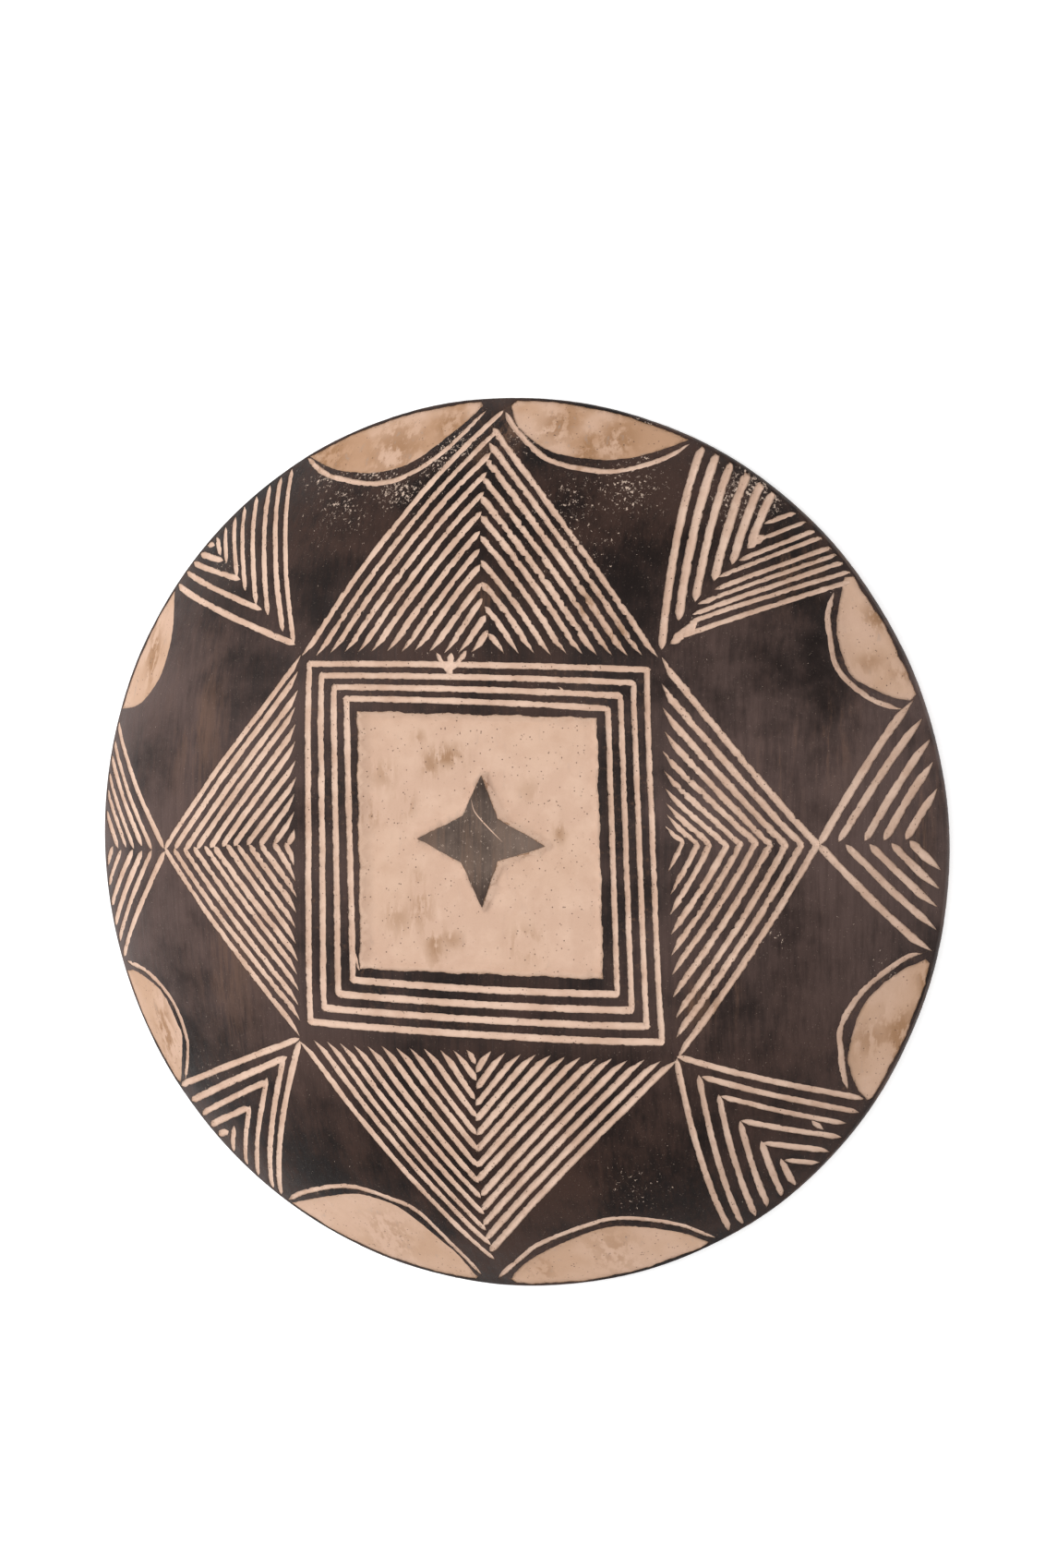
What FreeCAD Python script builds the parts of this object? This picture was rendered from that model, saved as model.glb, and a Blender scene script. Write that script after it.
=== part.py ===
"""Carved wooden bowl, lying mouth down on its rim with the carved face up.

One turned-and-carved wooden body carries cuts of three depths: knife lines laid in nested
chevrons, eight scalloped fields along the rim, and a square panel with a star left standing.
Each group of cuts holds its own infill of white clay. Millimetres, +Z out of the carved face,
origin at the centre of the rim plane.
"""
import FreeCAD, Part
import math
import os
import Sketcher
from FreeCAD import Rotation, Vector

doc = FreeCAD.newDocument("CarvedBowl")
sheet = doc.addObject("Spreadsheet::Sheet", "Sizes")

# ---------------------------------------------------------------- driving dimensions
SIZES = {
    "rim_radius": 225.0,        # outside radius at the rim
    "dome_height": 70.0,        # carved face above the rim plane
    "flat_radius": 100.0,       # where the flat middle turns into the shoulder
    "lip_height": 6.0,          # upright edge of the rim
    "wall_thickness": 14.0,
    "edge_land": 3.0,           # uncut wood kept along the rim
    "line_width": 3.6,          # one knife line
    "line_tip": 5.0,            # length of a line's pointed end
    "line_depth": 1.8,
    "field_depth": 2.4,         # scalloped fields
    "panel_depth": 4.0,         # square panel
    "clay_drop": 0.4,           # clay surface below the wood around it
    "coat_thickness": 0.8,      # clay coat on the floors of the fields and the panel
    "band_width": 3.6,          # wood left between a field and its outline
    "outline_width": 2.4,
    "star_reach": 33.0,         # centre of the star to a point
    "star_waist": 9.5,          # centre of the star to a notch, along X and along Y
    "star_x": 6.5,
    "star_y": 6.5,
}

# A fan is a row of knife lines. Each line runs from a tip on the spine of its chevrons to an
# end on their base: the outermost line first, then the innermost, the rest evenly between.
FANS = {
    "north_left": (13, ((-1, 219), (-87, 97)), ((10, 110), (2.5, 98))),
    "north_right": (11, ((-2, 208), (94, 98)), ((11, 108), (17, 98.5))),
    "south_left": (13, ((-2, -209), (-88, -97)), ((3.5, -103), (0.5, -97))),
    "south_right": (13, ((-1, -204), (102, -98)), ((4.5, -107), (11, -96))),
    "east_upper": (10, ((172, 9.5), (97, 95.5)), ((109, 9.5), (100, 16))),
    "east_lower": (10, ((172, 7.5), (106, -95)), ((109, 8), (101.5, -6))),
    "west_upper": (11, ((-169, -2.5), (-89.5, 95)), ((-96, 4), (-91, 10))),
    "west_lower": (12, ((-169, -4), (-90.5, -92)), ((-98, 2), (-91, -8))),
    "west_rim_upper": (6, ((-171.5, -2.5), (-217, 60)), ((-211, -4), (-223, 13))),
    "west_rim_lower": (6, ((-171.5, -5), (-214, -66)), ((-214, -7), (-223, -17))),
    "east_rim_upper": (5, ((174.5, 10.5), (206, 70)), ((210, 10.5), (219.5, 33))),
    "east_rim_lower": (5, ((174.5, 7), (217, -46)), ((211, 8.5), (222, -7))),
    "northeast_upright": (6, ((97, 102), (98.5, 199)), ((132, 151), (134, 179))),
    "northeast_slanted": (9, ((102, 105.5), (174, 133.5)), ((134, 161), (149, 167))),
    "northwest_upright": (8, ((-93.5, 103), (-118, 191)), ((-151, 146), (-160, 157))),
    "northwest_slanted": (5, ((-95, 103), (-182, 130.5)), ((-158, 151), (-168, 153))),
    "southwest_upright": (5, ((-91.5, -98), (-126, -186)), ((-143, -147), (-153, -164))),
    "southwest_slanted": (5, ((-93.5, -96), (-182, -130)), ((-149, -151), (-163, -156))),
    "southeast_upright": (6, ((105, -99), (117.5, -189)), ((147, -150), (150, -166))),
    "southeast_slanted": (6, ((106.5, -97), (184, -120)), ((148, -151), (163, -153.5))),
}
# Groups of fans that share one infill of clay.
CHEVRONS = {
    "north_chevrons": ("north_left", "north_right"),
    "south_chevrons": ("south_left", "south_right"),
    "east_chevrons": ("east_upper", "east_lower"),
    "west_chevrons": ("west_upper", "west_lower"),
    "west_rim_chevrons": ("west_rim_upper", "west_rim_lower"),
    "east_rim_chevrons": ("east_rim_upper", "east_rim_lower"),
    "northeast_chevrons": ("northeast_upright", "northeast_slanted"),
    "northwest_chevrons": ("northwest_upright", "northwest_slanted"),
    "southwest_chevrons": ("southwest_upright", "southwest_slanted"),
    "southeast_chevrons": ("southeast_upright", "southeast_slanted"),
}
# Corners of the innermost and outermost frame lines, from top left, clockwise.
FRAME_INNER = ((-64, 75.5), (71.5, 72.5), (76.5, -66), (-61, -64))
FRAME_OUTER = ((-84.5, 92.5), (90.5, 91.5), (98.5, -89), (-84.5, -86))
FRAME_LINES = ("frame_line_inner", "frame_line_second", "frame_line_third", "frame_line_outer")
PANEL = ((-58.5, 69.5), (66, 68), (69.5, -59), (-57.5, -58.5))
# Scallops are arcs bitten out of the carved face: centre x, centre y and radius. OUTLINED
# names those with a knife line along the arc, and the groups of lines that it runs into.
SCALLOPS = {
    "north_northeast": (56, 264, 71),
    "north_northwest": (-73, 258, 71),
    "east_northeast": (218, 120, 45),
    "east_southeast": (234, -99, 53),
    "south_southeast": (70, -274, 86),
    "south_southwest": (-77, -241, 65),
    "west_southwest": (-201, -102, 32),
    "west_northwest": (-213, 103, 38),
}
OUTLINED = {
    "north_northeast": ("north_chevrons",),
    "north_northwest": ("north_northeast_outline",),
    "east_northeast": ("northeast_chevrons",),
    "east_southeast": ("east_rim_chevrons", "southeast_chevrons"),
    "south_southeast": (),
    "south_southwest": (),
    "west_southwest": ("southwest_chevrons",),
}

cells = dict(SIZES)
for fan, (count, outer, inner) in FANS.items():
    for line, (tip, end) in (("outer", outer), ("inner", inner)):
        for place, point in (("tip", tip), ("end", end)):
            cells[f"{fan}_{line}_{place}_x"], cells[f"{fan}_{line}_{place}_y"] = point
for shape, corners in (("inner", FRAME_INNER), ("outer", FRAME_OUTER), ("panel", PANEL)):
    for number, point in enumerate(corners, 1):
        cells[f"{shape}_corner_{number}_x"], cells[f"{shape}_corner_{number}_y"] = point
for scallop, (x, y, radius) in SCALLOPS.items():
    cells[f"{scallop}_x"], cells[f"{scallop}_y"], cells[f"{scallop}_radius"] = x, y, radius
for row, (alias, value) in enumerate(cells.items(), 1):
    sheet.set(f"A{row}", alias)
    sheet.set(f"B{row}", repr(float(value)))
    sheet.setAlias(f"B{row}", alias)
doc.recompute()

# The shoulder is one arc, tangent to the flat middle and ending on the lip.
RHO = ("(((Sizes.rim_radius - Sizes.flat_radius)^2 + (Sizes.dome_height - Sizes.lip_height)^2)"
       " / (2 * (Sizes.dome_height - Sizes.lip_height)))")
run = SIZES["rim_radius"] - SIZES["flat_radius"]
rise = SIZES["dome_height"] - SIZES["lip_height"]
rho = (run ** 2 + rise ** 2) / (2 * rise)
SEAM = 22.0     # angle where each turned layer starts, clear of the lines' points
SECTORS = 12    # equal sectors that the bowl's wall is turned in


def bind(sketch, name, constraint, formula):
    """Add a dimension to a sketch and bind it to the sheet."""
    index = sketch.addConstraint(constraint)
    sketch.renameConstraint(index, name)
    sketch.setExpression(f"Constraints.{name}", formula)


def join_ends(sketch, count):
    """Make the first count edges of a sketch one closed loop."""
    for edge in range(count):
        sketch.addConstraint(Sketcher.Constraint("Coincident", edge, 2, (edge + 1) % count, 1))


def section(sketch, top, bottom, reach):
    """Draw half of a dome layer: top and bottom are depths below the carved face.

    The layer ends at an upright edge at the radius reach, a pair of value and formula."""
    flat, height = SIZES["flat_radius"], SIZES["dome_height"]
    centre = Vector(flat, height - rho, 0)
    (top_depth, top_formula), (low_depth, low_formula) = top, bottom

    def on_arc(depth):
        return math.acos((reach[0] - flat) / (rho - depth))

    corner = [Vector(0, height - top_depth, 0), Vector(flat, height - top_depth, 0),
              Vector(flat, height - low_depth, 0), Vector(0, height - low_depth, 0)]
    upper, lower = on_arc(top_depth), on_arc(low_depth)
    edge_top = centre + (rho - top_depth) * Vector(math.cos(upper), math.sin(upper), 0)
    edge_low = centre + (rho - low_depth) * Vector(math.cos(lower), math.sin(lower), 0)
    circle_top = Part.Circle(centre, Vector(0, 0, 1), rho - top_depth)
    circle_low = Part.Circle(centre, Vector(0, 0, 1), rho - low_depth)
    sketch.addGeometry([
        Part.LineSegment(corner[0], corner[1]),
        Part.ArcOfCircle(circle_top, upper, math.pi / 2),
        Part.LineSegment(edge_top, edge_low),
        Part.ArcOfCircle(circle_low, lower, math.pi / 2),
        Part.LineSegment(corner[2], corner[3]),
        Part.LineSegment(corner[3], corner[0]),
    ], False)
    for first, second in (((0, 2), (1, 2)), ((1, 1), (2, 1)), ((2, 2), (3, 1)), ((3, 2), (4, 1)),
                          ((4, 2), (5, 1)), ((5, 2), (0, 1))):
        sketch.addConstraint(Sketcher.Constraint("Coincident", *first, *second))
    sketch.addConstraint(Sketcher.Constraint("Vertical", 2))
    sketch.addConstraint(Sketcher.Constraint("Horizontal", 0))
    sketch.addConstraint(Sketcher.Constraint("Horizontal", 4))
    sketch.addConstraint(Sketcher.Constraint("PointOnObject", 0, 1, -2))
    sketch.addConstraint(Sketcher.Constraint("PointOnObject", 4, 2, -2))
    sketch.addConstraint(Sketcher.Constraint("Coincident", 1, 3, 3, 3))
    sketch.addConstraint(Sketcher.Constraint("Vertical", 1, 3, 1, 2))
    sketch.addConstraint(Sketcher.Constraint("Vertical", 3, 3, 3, 2))
    bind(sketch, "flat", Sketcher.Constraint("DistanceX", -1, 1, 1, 2, flat), "Sizes.flat_radius")
    bind(sketch, "height", Sketcher.Constraint("DistanceY", -1, 1, 1, 2, height - top_depth),
         f"Sizes.dome_height - ({top_formula})")
    bind(sketch, "top_radius", Sketcher.Constraint("Radius", 1, rho - top_depth),
         f"{RHO} - ({top_formula})")
    bind(sketch, "low_radius", Sketcher.Constraint("Radius", 3, rho - low_depth),
         f"{RHO} - ({low_formula})")
    bind(sketch, "reach", Sketcher.Constraint("DistanceX", -1, 1, 2, 1, reach[0]), reach[1])


def layer(name, top, bottom, rim=False, start=SEAM, sweep=360.0):
    """A dome-shaped layer under the carved face: the bowl's wall, a cut's depth or a coat."""
    sketch = doc.addObject("Sketcher::SketchObject", f"{name}_section")
    sketch.Placement.Rotation = Rotation(Vector(0, 0, 1), start) * Rotation(Vector(1, 0, 0), 90)
    section(sketch, top, bottom, (SIZES["rim_radius"], "Sizes.rim_radius") if rim else
            (SIZES["rim_radius"] - SIZES["edge_land"], "Sizes.rim_radius - Sizes.edge_land"))
    turned = doc.addObject("Part::Revolution", name)
    turned.Source = sketch
    turned.Axis = Vector(0, 0, 1)
    turned.Angle = sweep
    turned.Solid = True
    return turned


def prism(name, sketch):
    """Stand a closed sketch up through the whole dome."""
    raised = doc.addObject("Part::Extrusion", name)
    raised.Base = sketch
    raised.DirMode = "Custom"
    raised.Dir = Vector(0, 0, 1)
    raised.Solid = True
    raised.setExpression("LengthFwd", "Sizes.dome_height + 10")
    return raised


def fused(name, pieces):
    """Join several solids."""
    union = doc.addObject("Part::MultiFuse", name)
    union.Shapes = pieces
    union.Refine = False
    return union


def common(name, first, second):
    """Keep what two solids share."""
    shared = doc.addObject("Part::Common", name)
    shared.Base, shared.Tool = first, second
    return shared


def minus(name, base, tool):
    """Cut one solid with another."""
    rest = doc.addObject("Part::Cut", name)
    rest.Base, rest.Tool = base, tool
    return rest


def knife_line(name, start, end):
    """One knife line: a long bar with a point at each end.

    start and end are pairs of formulas, so the line's place, length and angle all follow the
    sheet."""
    (x0, y0), (x1, y1) = [tuple(float(sheet.evalExpression(part)) for part in point)
                          for point in (start, end)]
    length, half = math.hypot(x1 - x0, y1 - y0), SIZES["line_width"] / 2
    point = min(SIZES["line_tip"], 0.4 * length)
    outline = [Vector(0, 0, 0), Vector(point, half, 0), Vector(length - point, half, 0),
               Vector(length, 0, 0), Vector(length - point, -half, 0), Vector(point, -half, 0)]
    sketch = doc.addObject("Sketcher::SketchObject", f"{name}_outline")
    sketch.addGeometry([Part.LineSegment(a, b) for a, b in zip(outline, outline[1:] + outline[:1])],
                       False)
    join_ends(sketch, 6)
    for constraint in (("Coincident", 0, 1, -1, 1), ("PointOnObject", 2, 2, -1),
                       ("Symmetric", 0, 2, 4, 2, -1), ("Symmetric", 1, 2, 3, 2, -1)):
        sketch.addConstraint(Sketcher.Constraint(*constraint))
    run_x, run_y = [f"({high} - ({low}))" for low, high in zip(start, end)]
    span = f"sqrt({run_x}^2 + {run_y}^2)"
    tip = f"min(Sizes.line_tip; 0.4 * {span})"
    bind(sketch, "span", Sketcher.Constraint("DistanceX", -1, 1, 2, 2, length), span)
    bind(sketch, "half_a", Sketcher.Constraint("DistanceY", -1, 1, 0, 2, half), "Sizes.line_width / 2")
    bind(sketch, "half_b", Sketcher.Constraint("DistanceY", -1, 1, 1, 2, half), "Sizes.line_width / 2")
    bind(sketch, "tip_a", Sketcher.Constraint("DistanceX", -1, 1, 0, 2, point), tip)
    bind(sketch, "tip_b", Sketcher.Constraint("DistanceX", 1, 2, 2, 2, point), tip)
    angle = math.degrees(math.atan2(y1 - y0, x1 - x0))
    sketch.Placement = FreeCAD.Placement(Vector(x0, y0, 0), Rotation(Vector(0, 0, 1), angle))
    sketch.setExpression("Placement.Base.x", start[0])
    sketch.setExpression("Placement.Base.y", start[1])
    return prism(name, sketch)


def polygon(name, corners):
    """A closed outline whose corners are pairs of formulas."""
    values = [Vector(*(float(sheet.evalExpression(part)) for part in corner), 0)
              for corner in corners]
    sketch = doc.addObject("Sketcher::SketchObject", f"{name}_outline")
    sketch.addGeometry([Part.LineSegment(a, b) for a, b in zip(values, values[1:] + values[:1])],
                       False)
    join_ends(sketch, len(values))
    for number, (value, corner) in enumerate(zip(values, corners)):
        for kind, size, formula in (("DistanceX", value.x, corner[0]),
                                    ("DistanceY", value.y, corner[1])):
            bind(sketch, f"{kind}_{number}",
                 Sketcher.Constraint(kind, -1, 1, number, 1, size), formula)
    return prism(name, sketch)


def between(low, high, share):
    """A point formula part of the way from one pair of cells to another."""
    return tuple(f"Sizes.{low}_{axis} + {share:.6f} * (Sizes.{high}_{axis} - Sizes.{low}_{axis})"
                 for axis in "xy")


# ---------------------------------------------------------------- layers under the carved face
ABOVE = (-3.0, "-3")
line_cut = layer("line_cut_layer", ABOVE, (SIZES["line_depth"], "Sizes.line_depth"))
field_cut = layer("field_cut_layer", ABOVE, (SIZES["field_depth"], "Sizes.field_depth"))
panel_cut = layer("panel_cut_layer", ABOVE, (SIZES["panel_depth"], "Sizes.panel_depth"))
line_clay = layer("line_clay_layer", (SIZES["clay_drop"], "Sizes.clay_drop"),
                  (SIZES["line_depth"], "Sizes.line_depth"))
field_clay = layer("field_clay_layer",
                   (SIZES["field_depth"] - SIZES["coat_thickness"],
                    "Sizes.field_depth - Sizes.coat_thickness"),
                   (SIZES["field_depth"], "Sizes.field_depth"))
panel_clay = layer("panel_clay_layer",
                   (SIZES["panel_depth"] - SIZES["coat_thickness"],
                    "Sizes.panel_depth - Sizes.coat_thickness"),
                   (SIZES["panel_depth"], "Sizes.panel_depth"))

# ---------------------------------------------------------------- the plan of each group of cuts
line_groups = {}
for node, fans in CHEVRONS.items():
    lines = []
    for fan in fans:
        count = FANS[fan][0]
        for number in range(count):
            share = number / (count - 1)
            lines.append(knife_line(f"{fan}_{number + 1}",
                                    between(f"{fan}_outer_tip", f"{fan}_inner_tip", share),
                                    between(f"{fan}_outer_end", f"{fan}_inner_end", share)))
    line_groups[node] = fused(f"{node}_plan", lines)
for number, node in enumerate(FRAME_LINES):
    share = number / (len(FRAME_LINES) - 1)
    corners = [between(f"inner_corner_{k}", f"outer_corner_{k}", share) for k in (1, 2, 3, 4)]
    edges = []
    for edge, sign in (("outside", 1), ("inside", -1)):
        edges.append(polygon(f"{node}_{edge}", [
            (f"{x} + {sign * away_x} * Sizes.line_width / 2",
             f"{y} + {sign * away_y} * Sizes.line_width / 2")
            for (x, y), (away_x, away_y) in zip(corners, ((-1, 1), (1, 1), (1, -1), (-1, -1)))]))
    line_groups[node] = minus(f"{node}_plan", *edges)

field_groups = {}
for scallop in SCALLOPS:
    rings = []
    for ring, extra in (("field", "0"), ("band", "Sizes.band_width"),
                        ("outline", "Sizes.band_width + Sizes.outline_width")):
        disc = doc.addObject("Part::Cylinder", f"{scallop}_{ring}_disc")
        disc.setExpression("Radius", f"Sizes.{scallop}_radius + {extra}")
        disc.setExpression("Height", "Sizes.dome_height + 10")
        disc.setExpression("Placement.Base.x", f"Sizes.{scallop}_x")
        disc.setExpression("Placement.Base.y", f"Sizes.{scallop}_y")
        rings.append(disc)
        if scallop not in OUTLINED:
            break
    field_groups[f"{scallop}_field"] = rings[0]
    if scallop in OUTLINED:
        plan = minus(f"{scallop}_outline_plan", rings[2], rings[1])
        for met in OUTLINED[scallop]:
            plan = minus(f"{scallop}_outline_to_{met}", plan, line_groups[met])
        line_groups[f"{scallop}_outline"] = plan

panel_plan = polygon("panel_plan", [(f"Sizes.panel_corner_{k}_x", f"Sizes.panel_corner_{k}_y")
                                    for k in (1, 2, 3, 4)])
reach, waist = "Sizes.star_reach", "Sizes.star_waist"
star_points = []
for across, along in ((0, 1), (1, 0), (0, -1), (-1, 0)):
    star_points.append((f"Sizes.star_x + {across} * {reach}", f"Sizes.star_y + {along} * {reach}"))
    turn_x, turn_y = (across + along, along - across)
    star_points.append((f"Sizes.star_x + {turn_x} * {waist}", f"Sizes.star_y + {turn_y} * {waist}"))
star_plan = polygon("star_plan", star_points)
recess_plan = minus("recess_plan", panel_plan, star_plan)

# ---------------------------------------------------------------- clay, one node per group
parts = {}
for node, plan in line_groups.items():
    parts[node] = common(node, plan, line_clay)
for node, plan in field_groups.items():
    parts[node] = common(node, plan, field_clay)
parts["panel_clay"] = common("panel_clay", recess_plan, panel_clay)

# ---------------------------------------------------------------- the wooden body
sweep = 360.0 / SECTORS
shell = fused("shell", [
    layer(f"shell_sector_{number + 1}", (0.0, "0"),
          (SIZES["wall_thickness"], "Sizes.wall_thickness"), rim=True,
          start=SEAM + number * sweep, sweep=sweep) for number in range(SECTORS)])
above_rim = doc.addObject("Part::Cylinder", "above_rim_plane")
above_rim.setExpression("Radius", "Sizes.rim_radius + 5")
above_rim.setExpression("Height", "Sizes.dome_height + 10")
blank = common("blank", shell, above_rim)
cuts = fused("all_cuts", [
    common("line_cuts", fused("line_plans", list(line_groups.values())), line_cut),
    common("field_cuts", fused("field_plans", list(field_groups.values())), field_cut),
    common("panel_cuts", recess_plan, panel_cut),
])
parts["carved_body"] = minus("carved_body", blank, cuts)
doc.recompute()

# ---------------------------------------------------------------- checks and export
for item in doc.Objects:
    if {"Invalid", "Error"} & set(item.State):
        raise RuntimeError(f"{item.Name} did not build: {item.State}")
os.makedirs("parts", exist_ok=True)
for node, item in parts.items():
    item.Label = node
    if item.Shape.isNull() or not item.Shape.isValid() or not item.Shape.Solids:
        raise RuntimeError(f"{node} is not a valid solid")
    item.Shape.exportStep(f"parts/{node}.step")
    print(f"{node}: {len(item.Shape.Solids)} solids, {item.Shape.Volume / 1000:.2f} cm3")
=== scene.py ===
"""Carved wooden bowl shown mouth down, with its clay-filled carving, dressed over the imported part.

The face is drawn in plan in millimetres (x to the right, y away from the maker's knees), cut into
wood and clay, and lifted onto the dome. Meshes are in metres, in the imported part's own frame.
"""

import logging
import math
from collections.abc import Iterable, Sequence
from dataclasses import dataclass, field
from enum import Enum

import bpy
import numpy as np
from mathutils import Matrix, Vector, kdtree
from mathutils.geometry import delaunay_2d_cdt


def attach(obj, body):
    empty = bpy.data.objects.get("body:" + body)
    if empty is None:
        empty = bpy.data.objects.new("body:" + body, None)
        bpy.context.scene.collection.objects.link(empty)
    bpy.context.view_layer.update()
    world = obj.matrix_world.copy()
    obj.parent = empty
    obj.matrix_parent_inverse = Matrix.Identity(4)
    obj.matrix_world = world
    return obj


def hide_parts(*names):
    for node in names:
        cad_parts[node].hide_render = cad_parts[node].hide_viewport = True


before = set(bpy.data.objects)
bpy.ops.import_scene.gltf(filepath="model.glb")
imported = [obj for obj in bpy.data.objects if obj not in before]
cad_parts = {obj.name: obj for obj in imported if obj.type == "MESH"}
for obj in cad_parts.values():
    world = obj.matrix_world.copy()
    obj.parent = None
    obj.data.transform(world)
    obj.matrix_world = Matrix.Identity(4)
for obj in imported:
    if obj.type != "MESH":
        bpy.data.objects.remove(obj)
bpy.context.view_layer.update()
LOG = logging.getLogger("bowl")
MM = 0.001
SEED = 45
BATCH = 2_000_000    # pairs of a point and an edge worked out at once
FACE_EDGE = 224.4    # radius at which the carved face meets the rim
FIELD_EDGE = 224.0   # radius that the clay fields reach
EDGE_COUNT = 720     # points round the rim

Point = tuple[float, float]
Line = tuple[Point, Point]
Colour = tuple[float, float, float]
Stretch = tuple[float, float, float]


class Slot(Enum):
    """The finishes that the record names."""

    WOOD = "dark_wood"
    CLAY = "white_clay"


# ------------------------------------------------------------------------------- plan geometry
def inside(points: np.ndarray, ring: np.ndarray) -> np.ndarray:
    """Tell which points lie inside a closed ring.

    Args:
        points: plan points, one per row.
        ring: the ring's corners in order.

    Returns:
        One truth value per point.
    """
    result = np.zeros(len(points), bool)
    low, high = ring.min(axis=0), ring.max(axis=0)
    near = np.nonzero(np.all((points >= low) & (points <= high), axis=1))[0]
    for part in np.array_split(near, max(1, len(near) * len(ring) // BATCH)):
        x, y = points[part, 0][:, None], points[part, 1][:, None]
        ax, ay = ring[:, 0], ring[:, 1]
        bx, by = np.roll(ax, -1), np.roll(ay, -1)
        rise = np.where(np.abs(by - ay) < 1e-9, 1e-9, by - ay)
        crossed = ((ay > y) != (by > y)) & (x < ax + (y - ay) * (bx - ax) / rise)
        result[part] = crossed.sum(axis=1) % 2 == 1
    return result


def edge_distance(points: np.ndarray, ring: np.ndarray) -> np.ndarray:
    """Measure how far each point is from a closed ring.

    Args:
        points: plan points, one per row.
        ring: the ring's corners in order.

    Returns:
        One distance per point.
    """
    run = np.roll(ring, -1, axis=0) - ring
    square = np.maximum((run ** 2).sum(axis=1), 1e-9)
    found = []
    for part in np.array_split(points, max(1, len(points) * len(ring) // BATCH)):
        away = part[:, None, :] - ring[None]
        share = np.clip((away * run).sum(axis=2) / square, 0, 1)
        found.append(np.sqrt(((away - share[..., None] * run) ** 2).sum(axis=2).min(axis=1)))
    return np.concatenate(found)


def curve(points: Sequence[Point], step: float) -> np.ndarray:
    """Run a smooth curve through a few points.

    Args:
        points: the points it passes through.
        step: the spacing wanted along it.

    Returns:
        Evenly spaced points, ends included.
    """
    given = np.array(points, float)
    if len(given) > 2:
        padded = np.vstack([2 * given[0] - given[1], given, 2 * given[-1] - given[-2]])
        share = np.linspace(0, 1, 12, endpoint=False)[:, None]
        dense = []
        for a, b, c, d in zip(padded, padded[1:], padded[2:], padded[3:]):
            dense.append(0.5 * (2 * b + (c - a) * share + (2 * a - 5 * b + 4 * c - d) * share ** 2
                                + (3 * b - a - 3 * c + d) * share ** 3))
        given = np.vstack(dense + [given[-1:]])
    along = np.concatenate([[0], np.cumsum(np.linalg.norm(np.diff(given, axis=0), axis=1))])
    count = max(3, round(along[-1] / step) + 1)
    at = np.linspace(0, along[-1], count)
    return np.column_stack([np.interp(at, along, given[:, 0]), np.interp(at, along, given[:, 1])])


def normals_of(path: np.ndarray) -> np.ndarray:
    """Find the unit direction to the left of an open path.

    Args:
        path: the path's points in order.

    Returns:
        One direction per point.
    """
    run = np.gradient(path, axis=0)
    run /= np.maximum(np.linalg.norm(run, axis=1), 1e-9)[:, None]
    return np.column_stack([-run[:, 1], run[:, 0]])


def hand_wave(rng: np.random.Generator, along: np.ndarray, size: float) -> np.ndarray:
    """Give the slow drift of a hand-held blade along a cut.

    Args:
        rng: the random source.
        along: distances along the cut.
        size: the drift's scale.

    Returns:
        One shift per distance.
    """
    total = np.zeros_like(along)
    for length, share in ((31.0, 1.0), (13.0, 0.6), (6.1, 0.35)):
        total += share * np.sin(2 * math.pi * (along / length + rng.random()))
    return size * total


# ------------------------------------------------------------------------------- the turned form
@dataclass(frozen=True)
class Dome:
    """The bowl's outside: a flat middle and one round shoulder down to a low lip. Millimetres.

    The face lies settle below the true form and ripples by unevenness, but for a calm strip at the rim.
    """

    flat_radius: float = 100.0
    height: float = 70.0
    shoulder: float = 154.07
    rim_radius: float = 225.0
    lip: float = 6.0
    wall: float = 14.0
    unevenness: float = 0.28
    settle: float = 0.45
    calm_edge: float = 3.0
    calm_width: float = 12.0

    def ripple(self, x: np.ndarray, y: np.ndarray) -> np.ndarray:
        """Give the slight rise and fall that hand tools leave on the face."""
        return self.unevenness * (np.sin(x / 23.0 + 0.8) * np.sin(y / 31.0 + 2.1)
                                  + 0.6 * np.sin(x / 9.7 + y / 17.0) + 0.35 * np.sin(y / 6.3 - x / 19.0))

    def lift(self, plan: np.ndarray, depth: np.ndarray) -> np.ndarray:
        """Put plan points on the dome.

        Args:
            plan: plan points in millimetres.
            depth: how far each lies below the face, square to it.

        Returns:
            Points in metres.
        """
        radius = np.maximum(np.hypot(plan[:, 0], plan[:, 1]), 1e-6)
        out = np.maximum(radius - self.flat_radius, 0)
        lean = np.clip(out / self.shoulder, 0, 0.95)
        level = self.height - self.shoulder + np.sqrt(self.shoulder ** 2 - (lean * self.shoulder) ** 2)
        fade = np.clip((self.rim_radius - self.calm_edge - radius) / self.calm_width, 0, 1)
        depth = depth + fade * (self.settle - self.ripple(plan[:, 0], plan[:, 1]))
        shrink = (radius - depth * lean) / radius
        z = level - depth * np.sqrt(1 - lean ** 2)
        return MM * np.column_stack([plan * shrink[:, None], z])


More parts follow.
